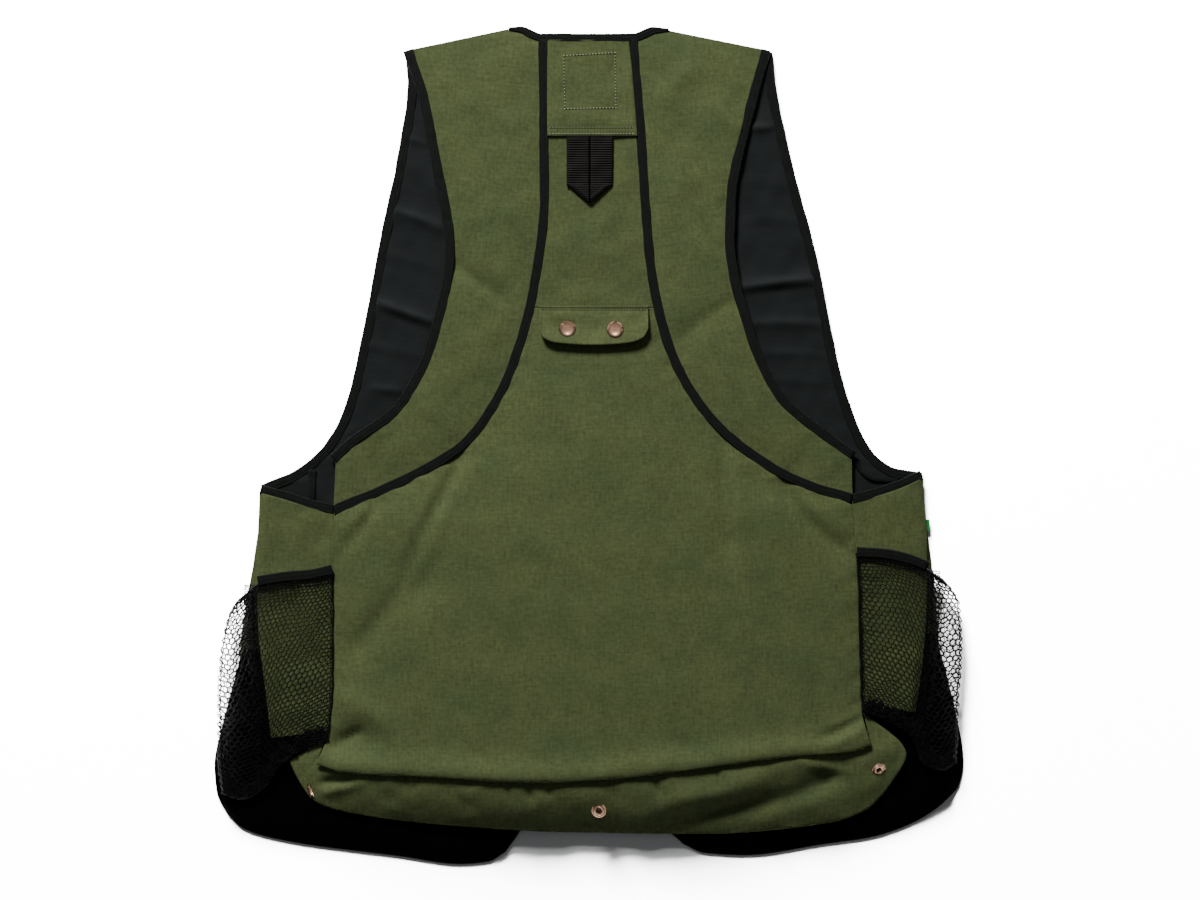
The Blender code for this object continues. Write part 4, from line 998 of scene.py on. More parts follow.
TAPE_RIB = 0.00062
TWILL_RIB = 0.0008
TAB_PITCH = 0.0005
LINT_COLOUR = (0.06, 0.06, 0.055, 1.0)


class Amount:
    """A number in a shader. Sums on it add their Math nodes."""

    def __init__(self, finish, socket):
        self.finish = finish
        self.socket = socket

    def with_math(self, operation, first, second=0.0):
        node = self.finish.node("ShaderNodeMath", {"operation": operation}, {0: first, 1: second})
        return Amount(self.finish, node.outputs[0])

    def __add__(self, other):
        return self.with_math("ADD", self, other)

    __radd__ = __add__

    def __sub__(self, other):
        return self.with_math("SUBTRACT", self, other)

    def __rsub__(self, other):
        return self.with_math("SUBTRACT", other, self)

    def __mul__(self, other):
        return self.with_math("MULTIPLY", self, other)

    __rmul__ = __mul__

    def __gt__(self, other):
        return self.with_math("GREATER_THAN", self, other)

    def __lt__(self, other):
        return self.with_math("LESS_THAN", self, other)

    def __abs__(self):
        return self.with_math("ABSOLUTE", self)

    def sine(self):
        return self.with_math("SINE", self)


class Finish:
    """A material and the nodes that it is made of."""

    def __init__(self, name, roughness, metallic=0.0):
        self.material = bpy.data.materials.new("vest_" + name)
        self.material.use_nodes = True
        self.tree = self.material.node_tree
        self.surface = self.tree.nodes["Principled BSDF"]
        self.surface.inputs["Roughness"].default_value = roughness
        self.surface.inputs["Metallic"].default_value = metallic

    def node(self, kind, settings, sockets):
        """A node of a kind, whose sockets also take amounts."""
        plain = {
            label: value.socket if isinstance(value, Amount) else value for label, value in sockets.items()
        }
        return add_node(self.tree, kind, settings, plain)

    def on_cloth(self):
        """Places across and along the cloth, in metres, from its own map."""
        place = self.node("ShaderNodeUVMap", {"uv_map": "cloth_map"}, {})
        split = self.node("ShaderNodeSeparateXYZ", {}, {0: place.outputs[0]})
        return Amount(self, split.outputs[0]), Amount(self, split.outputs[1])

    def cloud(self, x, y, z=0.0, detail=2.0, distortion=0.0):
        """Soft noise from 0 to 1 at a place given in its own sizes."""
        place = self.node("ShaderNodeCombineXYZ", {}, {0: x, 1: y, 2: z})
        noise = self.node(
            "ShaderNodeTexNoise",
            {},
            {"Vector": place.outputs[0], "Scale": 1.0, "Detail": detail, "Distortion": distortion},
        )
        return Amount(self, noise.outputs[0])

    def noise(self, scale, detail):
        """Soft noise from 0 to 1 over the piece, with so many cells to a metre."""
        place = self.node("ShaderNodeTexCoord", {}, {})
        sockets = {"Vector": place.outputs["Object"], "Scale": scale, "Detail": detail}
        return Amount(self, self.node("ShaderNodeTexNoise", {}, sockets).outputs[0])

    def blend(self, share, first, second):
        """A colour between two others."""
        mix = self.node(
            "ShaderNodeMix", {"data_type": "RGBA", "clamp_factor": True}, {0: share, 6: first, 7: second}
        )
        return mix.outputs[2]

    def bump(self, height, distance, strength=1.0):
        """Feed a height in its own units to the surface's normal."""
        node = self.node(
            "ShaderNodeBump", {}, {"Height": height, "Distance": distance, "Strength": strength}
        )
        self.tree.links.new(node.outputs[0], self.surface.inputs["Normal"])

    def set(self, label, value):
        """Set a socket of the surface, or link what varies to it."""
        value = value.socket if isinstance(value, Amount) else value
        if isinstance(value, bpy.types.NodeSocket):
            self.tree.links.new(value, self.surface.inputs[label])
        else:
            self.surface.inputs[label].default_value = value

    def colour(self, tone, colour, dark, light):
        """Run the surface's colour from a darker to a lighter shade with the tone."""
        self.set("Base Color", self.blend(tone, shade(colour, dark), shade(colour, light)))


def shade(colour, light):
    """A colour made lighter or darker, with its alpha."""
    return tuple(min(channel * light, 1.0) for channel in colour[:3]) + (1.0,)


def woven(across, along_cloth, pitch):
    """The height of a plain weave, from 0 to 1."""
    warp = (across * (math.pi / pitch)).sine()
    weft = (along_cloth * (math.pi / pitch)).sine()
    over = warp * weft > 0.0
    return abs(warp) * over + abs(weft) * (1.0 - over)


def canvas_finish(colours, pitch):
    """Plain-weave canvas: uneven threads both ways, faint cloudy patches, a dry surface."""
    finish = Finish("canvas", 0.88)
    across, down = finish.on_cloth()
    weave = woven(across, down, pitch)
    warp_thread = finish.cloud(across * 520.0, down * 70.0, 3.0)
    weft_thread = finish.cloud(across * 70.0, down * 520.0, 7.0)
    grain = finish.cloud(across * 300.0, down * 300.0, 11.0)
    patch = finish.cloud(across * 24.0, down * 24.0, 5.0)
    blot = finish.cloud(across * 60.0, down * 60.0, 8.0, detail=3.0)
    slubs = (warp_thread + weft_thread - 1.0) * 0.5 + (blot - 0.5) * 0.4
    tone = 0.5 + slubs + (grain - 0.5) * 0.8 + (weave - 0.6) * 0.3
    green = finish.blend(tone, shade(colours.canvas, 0.55), shade(colours.canvas, 1.45))
    cooler = finish.blend(tone, shade(colours.canvas_shade, 0.62), shade(colours.canvas_shade, 1.38))
    finish.set("Base Color", finish.blend((patch - 0.38) * 2.4, green, cooler))
    finish.set("Roughness", 0.84 + (grain - 0.5) * 0.16)
    finish.set("Specular IOR Level", 0.08)
    finish.bump(weave * 0.5 + (warp_thread + weft_thread) * 0.6 + grain * 0.8, 0.00012, 0.6)


def lining_finish(colours, pitch):
    """Charcoal lining, finer and a little smoother than the canvas."""
    finish = Finish("lining", 0.7)
    across, down = finish.on_cloth()
    weave = woven(across, down, pitch * 0.6)
    thread = finish.cloud(across * 60.0, down * 900.0, 4.0)
    patch = finish.cloud(across * 22.0, down * 22.0, 8.0, detail=3.0)
    tone = 0.45 + (thread - 0.5) * 0.8 + (weave - 0.6) * 0.25 + (patch - 0.5) * 0.7
    finish.colour(tone, colours.lining, 0.72, 1.35)
    finish.set("Roughness", 0.66 + (patch - 0.5) * 0.2)
    finish.set("Specular IOR Level", 0.1)
    finish.bump(weave * 0.4 + thread * 0.7, 0.00014, 0.7)


def pocket_cloth_finish(colours, pitch):
    """Near-black pocket cloth with a soft matt face and a few pale specks of lint."""
    finish = Finish("pocket_cloth", 0.9)
    across, down = finish.on_cloth()
    weave = woven(across, down, pitch * 0.7)
    fuzz = finish.cloud(across * 300.0, down * 300.0, 6.0, detail=3.0)
    place = finish.node("ShaderNodeCombineXYZ", {}, {0: across * 95.0, 1: down * 95.0, 2: 0.5})
    specks = finish.node(
        "ShaderNodeTexVoronoi", {"feature": "F1"}, {"Vector": place.outputs[0], "Scale": 1.0}
    )
    near = Amount(finish, specks.outputs["Distance"])
    rare = finish.cloud(across * 40.0, down * 40.0, 9.0, detail=0.0)
    lint = (near < 0.035) * (rare > 0.58)
    black = colours.pocket_cloth
    cloth = finish.blend(0.4 + (fuzz - 0.5) * 1.2, shade(black, 0.7), shade(black, 1.5))
    finish.set("Base Color", finish.blend(lint * 0.5, cloth, LINT_COLOUR))
    finish.set("Specular IOR Level", 0.01)
    finish.bump(weave * 0.5 + fuzz * 0.9, 0.00016, 0.6)


def binding_finish(colours):
    """Folded black tape with fine ribs across it."""
    finish = Finish("binding", 0.78)
    run, round_it = finish.on_cloth()
    ribs = abs((run * (math.pi / TAPE_RIB)).sine())
    wear = finish.cloud(run * 130.0, round_it * 420.0, 2.0, detail=3.0)
    finish.colour(ribs * 0.35 + (wear - 0.5) * 1.3 + 0.3, colours.binding, 0.75, 1.7)
    finish.set("Roughness", 0.72 + (wear - 0.5) * 0.2)
    finish.set("Specular IOR Level", 0.04)
    finish.bump(ribs * 0.6 + wear * 0.8, 0.00016, 0.8)


def net_finish(colours):
    """Thin black twisted thread."""
    finish = Finish("net", 0.6)
    finish.colour(finish.noise(900.0, 1.0), colours.net, 0.5, 1.8)
    finish.set("Specular IOR Level", 0.08)


def webbing_finish(colours):
    """Black webbing: fine threads run along its ribs, with painted highlights on the ribs' crests and
    painted shade along the split between its halves.
    """
    finish = Finish("webbing", 0.62)
    run, across = finish.on_cloth()
    thread = finish.cloud(run * 900.0, across * 2600.0, 5.0)
    rib_bump_and_highlight = abs((run * (math.pi / (WEBBING_RIB * MM))).sine())
    # A painted shade line along the split between the webbing's two halves
    split = abs(across - WEBBING_MIDDLE * MM) < 0.0009
    # The ribs' crests are painted lighter as highlights; the ribs also feed the bump
    tone = (thread - 0.5) * 1.2 + rib_bump_and_highlight * 1.1 - 0.2 - split * 1.5
    finish.colour(tone, colours.webbing, 0.25, 2.6)
    finish.set("Specular IOR Level", 0.05)
    finish.bump(thread * 0.8 + rib_bump_and_highlight * 0.3, 0.00015, 0.8)


def bronze_finish(colours):
    """Antique bronze: bright where it is rubbed, dark brown in its hollows."""
    finish = Finish("bronze", 0.36, 1.0)
    patchy = finish.noise(420.0, 5.0)
    out, height = finish.on_cloth()
    hollow = (height < 0.00095) * (out < 0.0022)
    rim = (height < 0.00095) * (out > 0.0046)
    lip = (height < 0.0023) * (out < 0.0046)
    finish.colour(1.2 - patchy - hollow - rim * 0.4 - lip * 0.25, colours.bronze, 0.06, 1.5)
    finish.set("Roughness", 0.26 + patchy * 0.2)
    finish.bump(patchy, 0.00005, 0.5)


def zip_tape_finish(colours):
    """Black twill tape of the zip."""
    finish = Finish("zip_tape", 0.8)
    place = finish.node("ShaderNodeTexCoord", {}, {})
    split = finish.node("ShaderNodeSeparateXYZ", {}, {0: place.outputs["Object"]})
    x, y = Amount(finish, split.outputs[0]), Amount(finish, split.outputs[1])
    twill = abs(((x + y) * (math.pi / TWILL_RIB)).sine())
    finish.colour(twill, colours.binding, 0.7, 1.4)
    finish.bump(twill, 0.00012, 0.7)


def zip_teeth_finish(colours):
    """Black moulded plastic, slightly uneven in its gloss."""
    finish = Finish("zip_plastic", 0.42)
    tone = finish.noise(300.0, 2.0)
    finish.colour(tone, colours.zip_plastic, 0.8, 1.2)
    finish.set("Roughness", 0.34 + tone * 0.16)


def zip_metal_finish(colours):
    """Blackened metal, rubbed brighter in places."""
    finish = Finish("zip_metal", 0.4, 1.0)
    tone = finish.noise(500.0, 4.0)
    finish.colour(tone, colours.zip_metal, 0.6, 1.6)
    finish.set("Roughness", 0.3 + tone * 0.25)


def tab_finish(colours):
    """Bright green woven tab."""
    finish = Finish("tab_cloth", 0.65)
    across, down = finish.on_cloth()
    weave = woven(across, down, TAB_PITCH)
    finish.colour(weave, colours.tab, 0.75, 1.15)
    finish.bump(weave, 0.0001, 0.6)


def thread_finish(name, colour):
    """Sewing thread with a fine twist, and the painted shade of the needle holes."""
    finish = Finish(name, 0.6)
    finish.colour(finish.noise(1600.0, 1.0), colour, 0.7, 1.3)


def floor_finish(colour):
    """A plain pale matt floor."""
    finish = Finish("pale_floor", 0.9)
    finish.set("Base Color", tuple(colour) + (1.0,))
    finish.set("Specular IOR Level", 0.0)


# Settings

def length_setting(label, words, default):
    """A length that a user can change."""
    return FloatProperty(name=label, description=words, default=default, min=0.00001, unit="LENGTH")


def colour_setting(label, words, default):
    """A colour that a user can change."""
    return FloatVectorProperty(
        name=label, description=words, default=default, size=3, min=0.0, max=1.0, subtype="COLOR"
    )


def power_setting(label, words, default):
    """A lamp's power that a user can change."""
    return FloatProperty(name=label, description=words, default=default, min=0.0)


class VestSizes(bpy.types.PropertyGroup):
    canvas_wall: length_setting("Canvas", "Thickness of the doubled canvas of the back", 0.0016)
    lining_wall: length_setting("Lining", "Thickness of the linings of the fronts", 0.001)
    pocket_wall: length_setting("Pocket cloth", "Thickness of the pocket bags and sides", 0.0014)
    tape_width: length_setting("Tape width", "Width of the folded binding", 0.009)
    tape_thickness: length_setting("Tape thickness", "Thickness of the folded binding", 0.0024)
    seam_gap: length_setting("Seam gap", "Gap between neighbouring pieces", 0.0003)
    weave_pitch: length_setting("Weave", "Distance between the threads of the canvas", 0.00062)
    grid_step: length_setting("Cloth step", "Distance between the points of a sheet of cloth", 0.003)
    net_cell: length_setting("Net cell", "Width of a cell of the net", 0.0042)
    net_thread: length_setting("Net thread", "Radius of the net's thread", 0.00036)
    stitch_length: length_setting("Stitch", "Distance from one stitch to the next", 0.0027)
    stitch_radius: length_setting("Thread", "Radius of the sewing thread", 0.0005)


class VestColours(bpy.types.PropertyGroup):
    canvas: colour_setting("Canvas", "Olive green of the canvas", (0.0915, 0.1110, 0.0430))
    canvas_shade: colour_setting("Canvas shade", "Cooler green of its patches", (0.0700, 0.0960, 0.0400))
    binding: colour_setting("Binding", "Black of the tapes", (0.0088, 0.0100, 0.0088))
    lining: colour_setting("Lining", "Charcoal of the linings", (0.0142, 0.0166, 0.0166))
    pocket_cloth: colour_setting("Pocket cloth", "Black of the pocket bags", (0.0016, 0.0016, 0.0016))
    net: colour_setting("Net", "Black of the net", (0.004, 0.004, 0.0038))
    webbing: colour_setting("Webbing", "Black of the webbing", (0.0100, 0.0088, 0.0083))
    bronze: colour_setting("Bronze", "Antique bronze of the snaps", (0.42, 0.25, 0.17))
    zip_plastic: colour_setting("Zip teeth", "Black of the zip's teeth", (0.02, 0.02, 0.02))
    zip_metal: colour_setting("Zip slider", "Blackened metal of the slider", (0.10, 0.09, 0.08))
    tab: colour_setting("Tab", "Green of the small tab", (0.02, 0.25, 0.06))
    green_thread: colour_setting("Green thread", "Sewing thread of the canvas", (0.17, 0.19, 0.09))
    pale_thread: colour_setting("Pale thread", "Lighter sewing thread of the yoke", (0.42, 0.43, 0.27))
    # The needle holes' darkness is painted shade
    needle_hole_shade: colour_setting("Needle holes", "Dark of the holes between stitches", (0.010, 0.012, 0.006))


class VestStage(bpy.types.PropertyGroup):
    camera_height: length_setting("Camera height", "Height of the camera over the vest", 2.5)
    view_width: length_setting("View width", "Width of the view on the surface", 1.08)
    floor_colour: colour_setting("Floor", "Colour of the floor", (0.9, 0.9, 0.9))
    floor_power: power_setting("Floor light", "Power that lights the floor alone", 42000.0)
    key_power: power_setting("Key light", "Power from above the neck", 235.0)
    glint_power: power_setting("Glint", "Power of the lamp over the vest, for the metal alone", 60.0)
    sky: power_setting("Sky", "Strength of the even light", 0.1)
    seed: IntProperty(name="Seed", description="Seed of all uneven shapes", default=7, min=0)


# The middle of the photographed frame, on the surface
VIEW_CENTRE = (0.01025, -0.00441)
SENSOR_WIDTH = 36.0

# Lamps: where each hangs, in metres, and the side of its square
KEY_LAMP = ((-1.0, 3.2, 1.9), 0.9)
GLINT_LAMP = ((0.0, 0.4, 2.8), 6.0)
SPARK_LAMP = ((0.05, -0.15, 2.6), 0.5)
FLOOR_LAMP = ((-2.2, 8.0, 2.9), 2.6)
SKY_COLOUR = (0.96, 0.98, 1.0, 1.0)

# Power of the small lamp behind the snaps' highlights, as a share of the glint
SPARK_SHARE = 0.6

# The floor's half side, and how far it lies under the vest, in metres
FLOOR_REACH = 6.0
FLOOR_DEPTH = 0.0002

# How far the cloth's edges run in under a tape
TUCK = 1.7


class Cut:
    """Sizes in millimetres on the drawing, from the user's settings."""

    def __init__(self, context):
        self.sizes = context.scene.vest_sizes
        self.canvas = self.sizes.canvas_wall / MM
        self.lining = self.sizes.lining_wall / MM
        self.pocket = self.sizes.pocket_wall / MM
        self.tape = self.sizes.tape_width / MM
        self.tape_height = self.sizes.tape_thickness / MM
        self.gap = self.sizes.seam_gap / MM
        self.step = self.sizes.grid_step / MM
        self.reach = self.tape / 2 - TUCK
        self.seed = context.scene.vest_stage.seed


def seam_parts(side):
    """A centre seam beside the yoke, beside the centre panel and beside the bag."""
    seam = spline(CENTRE_SEAM[side])
    end_y = CENTRE_SEAM[side][-1][1]
    ends = (SEAM_TOP_Y, YOKE_HEM_Y, BAG_TOP_Y, end_y)
    return [between(seam, high, low) for high, low in zip(ends, ends[1:])]


def side_seam_parts(side):
    """A side seam beside the side panel, and below it to the bag's corner."""
    seam = spline(SIDE_SEAM[side])
    top_y, end_y = SIDE_SEAM_Y[side]
    return between(seam, top_y, end_y), between(seam, end_y, SIDE_SEAM[side][-1][1])


def in_order(side, outer, inner):
    """The left and the right edge of a piece of one side."""
    return (outer, inner) if side == "left" else (inner, outer)


def soft_step(value):
    """A smooth step from 0 to 1."""
    limited = np.clip(value, 0, 1)
    return limited * limited * (3 - 2 * limited)


def bag_surface_grid(cut):
    """The upper face of the bag's outer panel, up to its crease."""
    left, right = (
        np.vstack((
            shifted(seam_parts(side)[2], SIGN[side] * cut.reach)[:-8],
            shifted(np.vstack(side_seam_parts(side)), SIGN[side] * cut.gap / 2),
        ))
        for side in SIDES
    )
    left[0, 1] = right[0, 1] = BAG_TOP_Y
    bottom = spline(BAG_CREASE)
    bottom[0] = left[-1]
    bottom[-1] = right[-1]
    grid = folded(crowned(panel(left, right, bottom=bottom, step=cut.step), 4.0), BAG_FOLDS)
    grid = pressed(grid, grid_runs(grid)[3], 9, 8, 1.3)
    return rumpled(creased(grid, BAG_CREASES, 1.7), 0.4, 62, cut.seed)


def side_grid(cut, side):
    """The upper face of a side panel, from the fold at the silhouette to under the bag's edge."""
    sign = SIGN[side]
    inner = shifted(side_seam_parts(side)[0], sign * 1.6)
    outer = spline(SIDE_FOLD[side])
    outer[0, 1] += 3.0
    inner[0, 1] += 3.0
    left, right = in_order(side, outer, inner)
    upper = shifted(spline(SIDE_TOP[side]), -cut.reach)
    upper[0], upper[-1] = left[0], right[0]
    grid = panel(left, right, top=upper, step=2.4)
    from_left, from_right, _, _ = grid_runs(grid)
    from_fold = from_left if side == "left" else from_right
    share = from_fold / (from_left + from_right)
    grid[:, :, 2] += 1.8 * soft_step(from_fold / 6.0) * (1 - share)
    return rumpled(creased(grid, SIDE_CREASES[side]), 0.3, 30, cut.seed + 81 + sign, keep=6.0)


class VestPiece:
    """What the operators of the vest share."""

    bl_options = {"REGISTER", "UNDO"}


class VEST_OT_finishes(VestPiece, bpy.types.Operator):
    """Make the finishes of the cloth, tapes, metal and threads"""

    bl_idname = "vest.finishes"
    bl_label = "Finishes"

    def execute(self, context):
        colours = context.scene.vest_colours
        for make in (canvas_finish, lining_finish, pocket_cloth_finish):
            make(colours, context.scene.vest_sizes.weave_pitch)
        for make in (
            binding_finish, net_finish, webbing_finish, bronze_finish, zip_tape_finish, zip_teeth_finish,
            zip_metal_finish, tab_finish,
        ):
            make(colours)
        # The needle holes' finish is painted shade, made like a thread
        for name in ("green_thread", "pale_thread", "needle_hole_shade"):
            thread_finish(name, getattr(colours, name))
        net_tree()
        stitch_tree()
        zip_teeth_tree()
        return {"FINISHED"}


class VEST_OT_fronts(VestPiece, bpy.types.Operator):
    """Lay the two fronts with the tapes along their armholes"""

    bl_idname = "vest.fronts"
    bl_label = "Fronts"

    def execute(self, context):
        cut = Cut(context)
        for side in SIDES:
            edge = spline(ARMHOLE[side])
            middle = shifted(edge, SIGN[side] * cut.tape / 2)
            middle[:, 2] = FRONT_TAPE_MIDDLE
            tape = binding("front_armhole_binding_" + side, middle, cut, 3, height=FRONT_TAPE_HEIGHT)
            solid_sheet("front_" + side, "canvas")
        return {"FINISHED"}


class VEST_OT_linings(VestPiece, bpy.types.Operator):
    """Lay the charcoal linings that the armholes show"""

    bl_idname = "vest.linings"
    bl_label = "Linings"

    def execute(self, context):
        cut = Cut(context)
        for side in SIDES:
            outer = shifted(spline(ARMHOLE[side], LINING_TOP), SIGN[side] * (cut.tape - TUCK))
            inner = spline(LINING_INNER[side], LINING_TOP)
            grid = panel(*in_order(side, outer, inner), step=2.4, turn=1.0)
            grid = creased(folded(grid, LINING_FOLDS[side]), LINING_CREASES[side])
            grid = rumpled(grid, 0.35, 26, cut.seed + 11, keep=8.0)
            grid = puckered(grid, side, 0.4, 16, 9, cut.seed + 12)
            grid[:, :, 2] = np.maximum(grid[:, :, 2], LINING_TOP - 0.25)
            name = "front_lining_" + side
            turns = (0.9, 0, 0, 0) if side == "left" else (0, 0.9, 0, 0)
            sheet_piece(
                name, grid, cut.lining, "lining", ["front_" + side], grain=6 * SIGN[side], turns=turns
            )
            # A black strip at each underarm; the left one is painted shade in the gap beside the strap's end
            tape = ribbon(
                "underarm_dark_strip_" + side, spline(UNDERARM_STRIPS[side]), UNDERARM_WIDTH[side],
                UNDERARM_HEIGHT, "binding", cut.seed + 13, wobble=2.0,
            )
            ride_for(tape, None)
        return {"FINISHED"}


class VEST_OT_pocket_bags(VestPiece, bpy.types.Operator):
    """Lay the black pocket bags that hang lower than the back"""

    bl_idname = "vest.pocket_bags"
    bl_label = "Pocket bags"

    def execute(self, context):
        cut = Cut(context)
        for side in SIDES:
            outer = spline(POCKET_OUTER[side], POCKET_TOP_EDGE)
            inner = spline(POCKET_INNER[side], POCKET_TOP_EDGE)
            hem = spline(POCKET_HEM[side], POCKET_TOP_EDGE)
            left, right = in_order(side, outer, inner)
            grid = panel(left, right, bottom=hem, step=cut.step + 0.6, turn=2.4)
            from_left, from_right, _, from_below = grid_runs(grid)
            from_outer, from_inner = in_order(side, from_left, from_right)
            below_edge = left[0, 1] * 0.5 + right[0, 1] * 0.5 - grid[:, :, 1]
            domed = soft_step(below_edge / POCKET_DOME_LENGTH)
            rolled = soft_step(below_edge / POCKET_FLAT_LENGTH - 1)
            edge = np.minimum(from_outer + (1 - rolled) * 40, from_below)
            body = soft_step(edge / 16)
            inner_ease = soft_step(from_inner / 14)
            rim = POCKET_TOP_EDGE - (POCKET_TOP_EDGE - POCKET_RIM) * rolled
            rim = np.minimum(rim, POCKET_RIM + from_below * 0.2)
            grid[:, :, 2] = rim * (1 - body) + (POCKET_TOP_EDGE + POCKET_DOME * domed * inner_ease) * body
            grid = creased(grid, POCKET_CREASES[side])
            grid = pressed(grid, np.minimum(from_outer, from_below), 5.0, 1.0, -0.35 * domed)
            grid = rumpled(grid, 0.25, 44, cut.seed + 21, keep=20.0)
            sheet_piece(
                "front_pocket_" + side, grid, cut.pocket, "pocket_cloth", ["front_" + side],
                grain=-4 * SIGN[side],
            )
        return {"FINISHED"}


class VEST_OT_zip(VestPiece, bpy.types.Operator):
    """Close the fronts with their zip: tapes, teeth and slider"""

    bl_idname = "vest.zip"
    bl_label = "Zip"

    def execute(self, context):
        for side in SIDES:
            name = "zip_tape_" + side
            ride_for(solid_copy(name + "_cloth", name, "zip_tape"), name)
        path = line((0, ZIP_BOTTOM_Y + 1, ZIP_HEIGHT), (0, ZIP_TOP_Y - 1, ZIP_HEIGHT), 3)
        values = {"Material": finish_named("zip_plastic")}
        teeth = grown("zip_teeth_row", path_curve("zip_path", [path]), "zip teeth", values)
        ride_for(teeth, "zip_teeth")
        teeth.data.shade_flat()
        slider = solid_copy("zip_slider_body", "zip_slider", "zip_metal")
        shape = bmesh.new()
        shape.from_mesh(slider.data)
        bmesh.ops.bevel(
            shape, geom=list(shape.edges), offset=0.0004, segments=2, affect="EDGES", clamp_overlap=True
        )
        shape.to_mesh(slider.data)
        shape.free()
        ride_for(slider, "zip_slider")
        return {"FINISHED"}


class VEST_OT_straps(VestPiece, bpy.types.Operator):
    """Lay the straps of the upper back with the tapes on both of their edges, and the neck's tape"""

    bl_idname = "vest.straps"
    bl_label = "Straps"

    def execute(self, context):
        cut = Cut(context)
        neck = raised(spline(NECK_LINE), -cut.canvas / 2)
        neck_width = 7.6 * np.clip(6 * np.minimum(even(60), 1 - even(60)) + 0.3, 0, 1)
        binding("neck_binding", neck, cut, 31, width=neck_width)
        for side in SIDES:
            sign = SIGN[side]
            parts = seam_parts(side)
            seam = np.vstack((parts[0], parts[1][1:], parts[2][1:]))
            corner = spline(NECK_CORNER[side])
            inside = np.vstack((corner, shifted(seam, -sign * cut.reach)[2:]))
            bound = spline(STRAP_EDGE[side])
            left, right = in_order(side, shifted(bound, -sign * TUCK), inside)
            grid = crowned(panel(left, right, step=cut.step), 1.6)
            grid = creased(folded(grid, STRAP_FOLDS[side]), STRAP_CREASES[side], 1.6)
            grid = rumpled(grid, 0.3, 40, cut.seed + 41 + sign)
            for edge in ("left", "right"):
                grid = puckered(grid, edge, 0.22, 15, 9, cut.seed + 43)
            armhole = raised(shifted(bound, -sign * cut.tape / 2), -cut.canvas / 2)
            seam = np.vstack((seam[:1] + np.array((0, 3.4, 0)), seam))
            tapes = []
            for label, path, mitred in (
                ("strap_armhole_binding_" + side, armhole, (False, False)),
                ("centre_binding_" + side, raised(seam, -cut.canvas / 2), (False, True)),
            ):
                tapes.append(binding(label, path, cut, len(label), mitred=mitred))
            sheet_piece(
                "strap_" + side, grid, cut.canvas, "canvas", ["back_body", "front_lining_" + side], tapes,
                grain=-5 * sign, turns=(0, 0, 0.6, 0),
            )
        return {"FINISHED"}


class VEST_OT_centre(VestPiece, bpy.types.Operator):
    """Lay the yoke over the centre panel, both between the straps"""

    bl_idname = "vest.centre"
    bl_label = "Yoke and centre"

    def execute(self, context):
        cut = Cut(context)
        left, right = (shifted(seam_parts(side)[1], SIGN[side] * cut.reach) for side in SIDES)
        for edge in (left, right):
            step = edge[0] - edge[1]
            edge[0] += step * (CENTRE_PANEL_TOP_Y - edge[0, 1]) / step[1]
            edge[-1, 1] = BAG_TOP_Y + cut.gap
        grid = creased(panel(left, right, step=cut.step), CENTRE_CREASES)
        grid = rumpled(grid, 0.35, 36, cut.seed + 51, keep=9.0)
        sheet_piece("centre_panel", grid, cut.canvas, "canvas", ["back_body"], grain=1)
        left, right = (shifted(seam_parts(side)[0], SIGN[side] * cut.reach) for side in SIDES)
        for edge in (left, right):
            edge[0, 1] = YOKE_TOP_Y + 3.0
            edge[-1, 1] = YOKE_HEM_Y
            edge[:, 2] = np.interp(edge[:, 1], (YOKE_HEM_Y, YOKE_TOP_Y), YOKE_HEIGHTS[::-1])
        grid = rumpled(panel(left, right, step=2.0), 0.3, 30, cut.seed + 55, keep=9.0)
        grid = creased(grid, YOKE_CREASES)
        from_below = grid_runs(grid)[3]
        grid = pressed(pressed(grid, from_below, 2.4, 1.0, -0.35), from_below, 7.6, 1.0, -0.3)
        grid = puckered(grid, "bottom", 0.3, 9, 5, cut.seed + 56)
        sheet_piece(
            "yoke", grid, cut.canvas, "canvas", ["centre_panel"], grain=-1, turns=(1.2, 1.2, 0.6, 0.7)
        )
        surface = surface_of(grid)
        upper, lower = (
            draped(line(*((x, y, 9) for x in YOKE_ROW_X), 80), surface, 0.12) for y in YOKE_ROW_Y
        )
        stitched("yoke_hem_stitches", [lower], "pale_thread", cut.sizes)
        stitched("yoke_hem_upper_stitches", [upper], "green_thread", cut.sizes)
        corners = PATCH_CORNERS + PATCH_CORNERS[:1]
        patch = [draped(line(start, end, 30), surface, 0.1) for start, end in zip(corners, corners[1:])]
        stitched("yoke_patch_stitches", patch, "pale_thread", cut.sizes, 1.05)
        return {"FINISHED"}


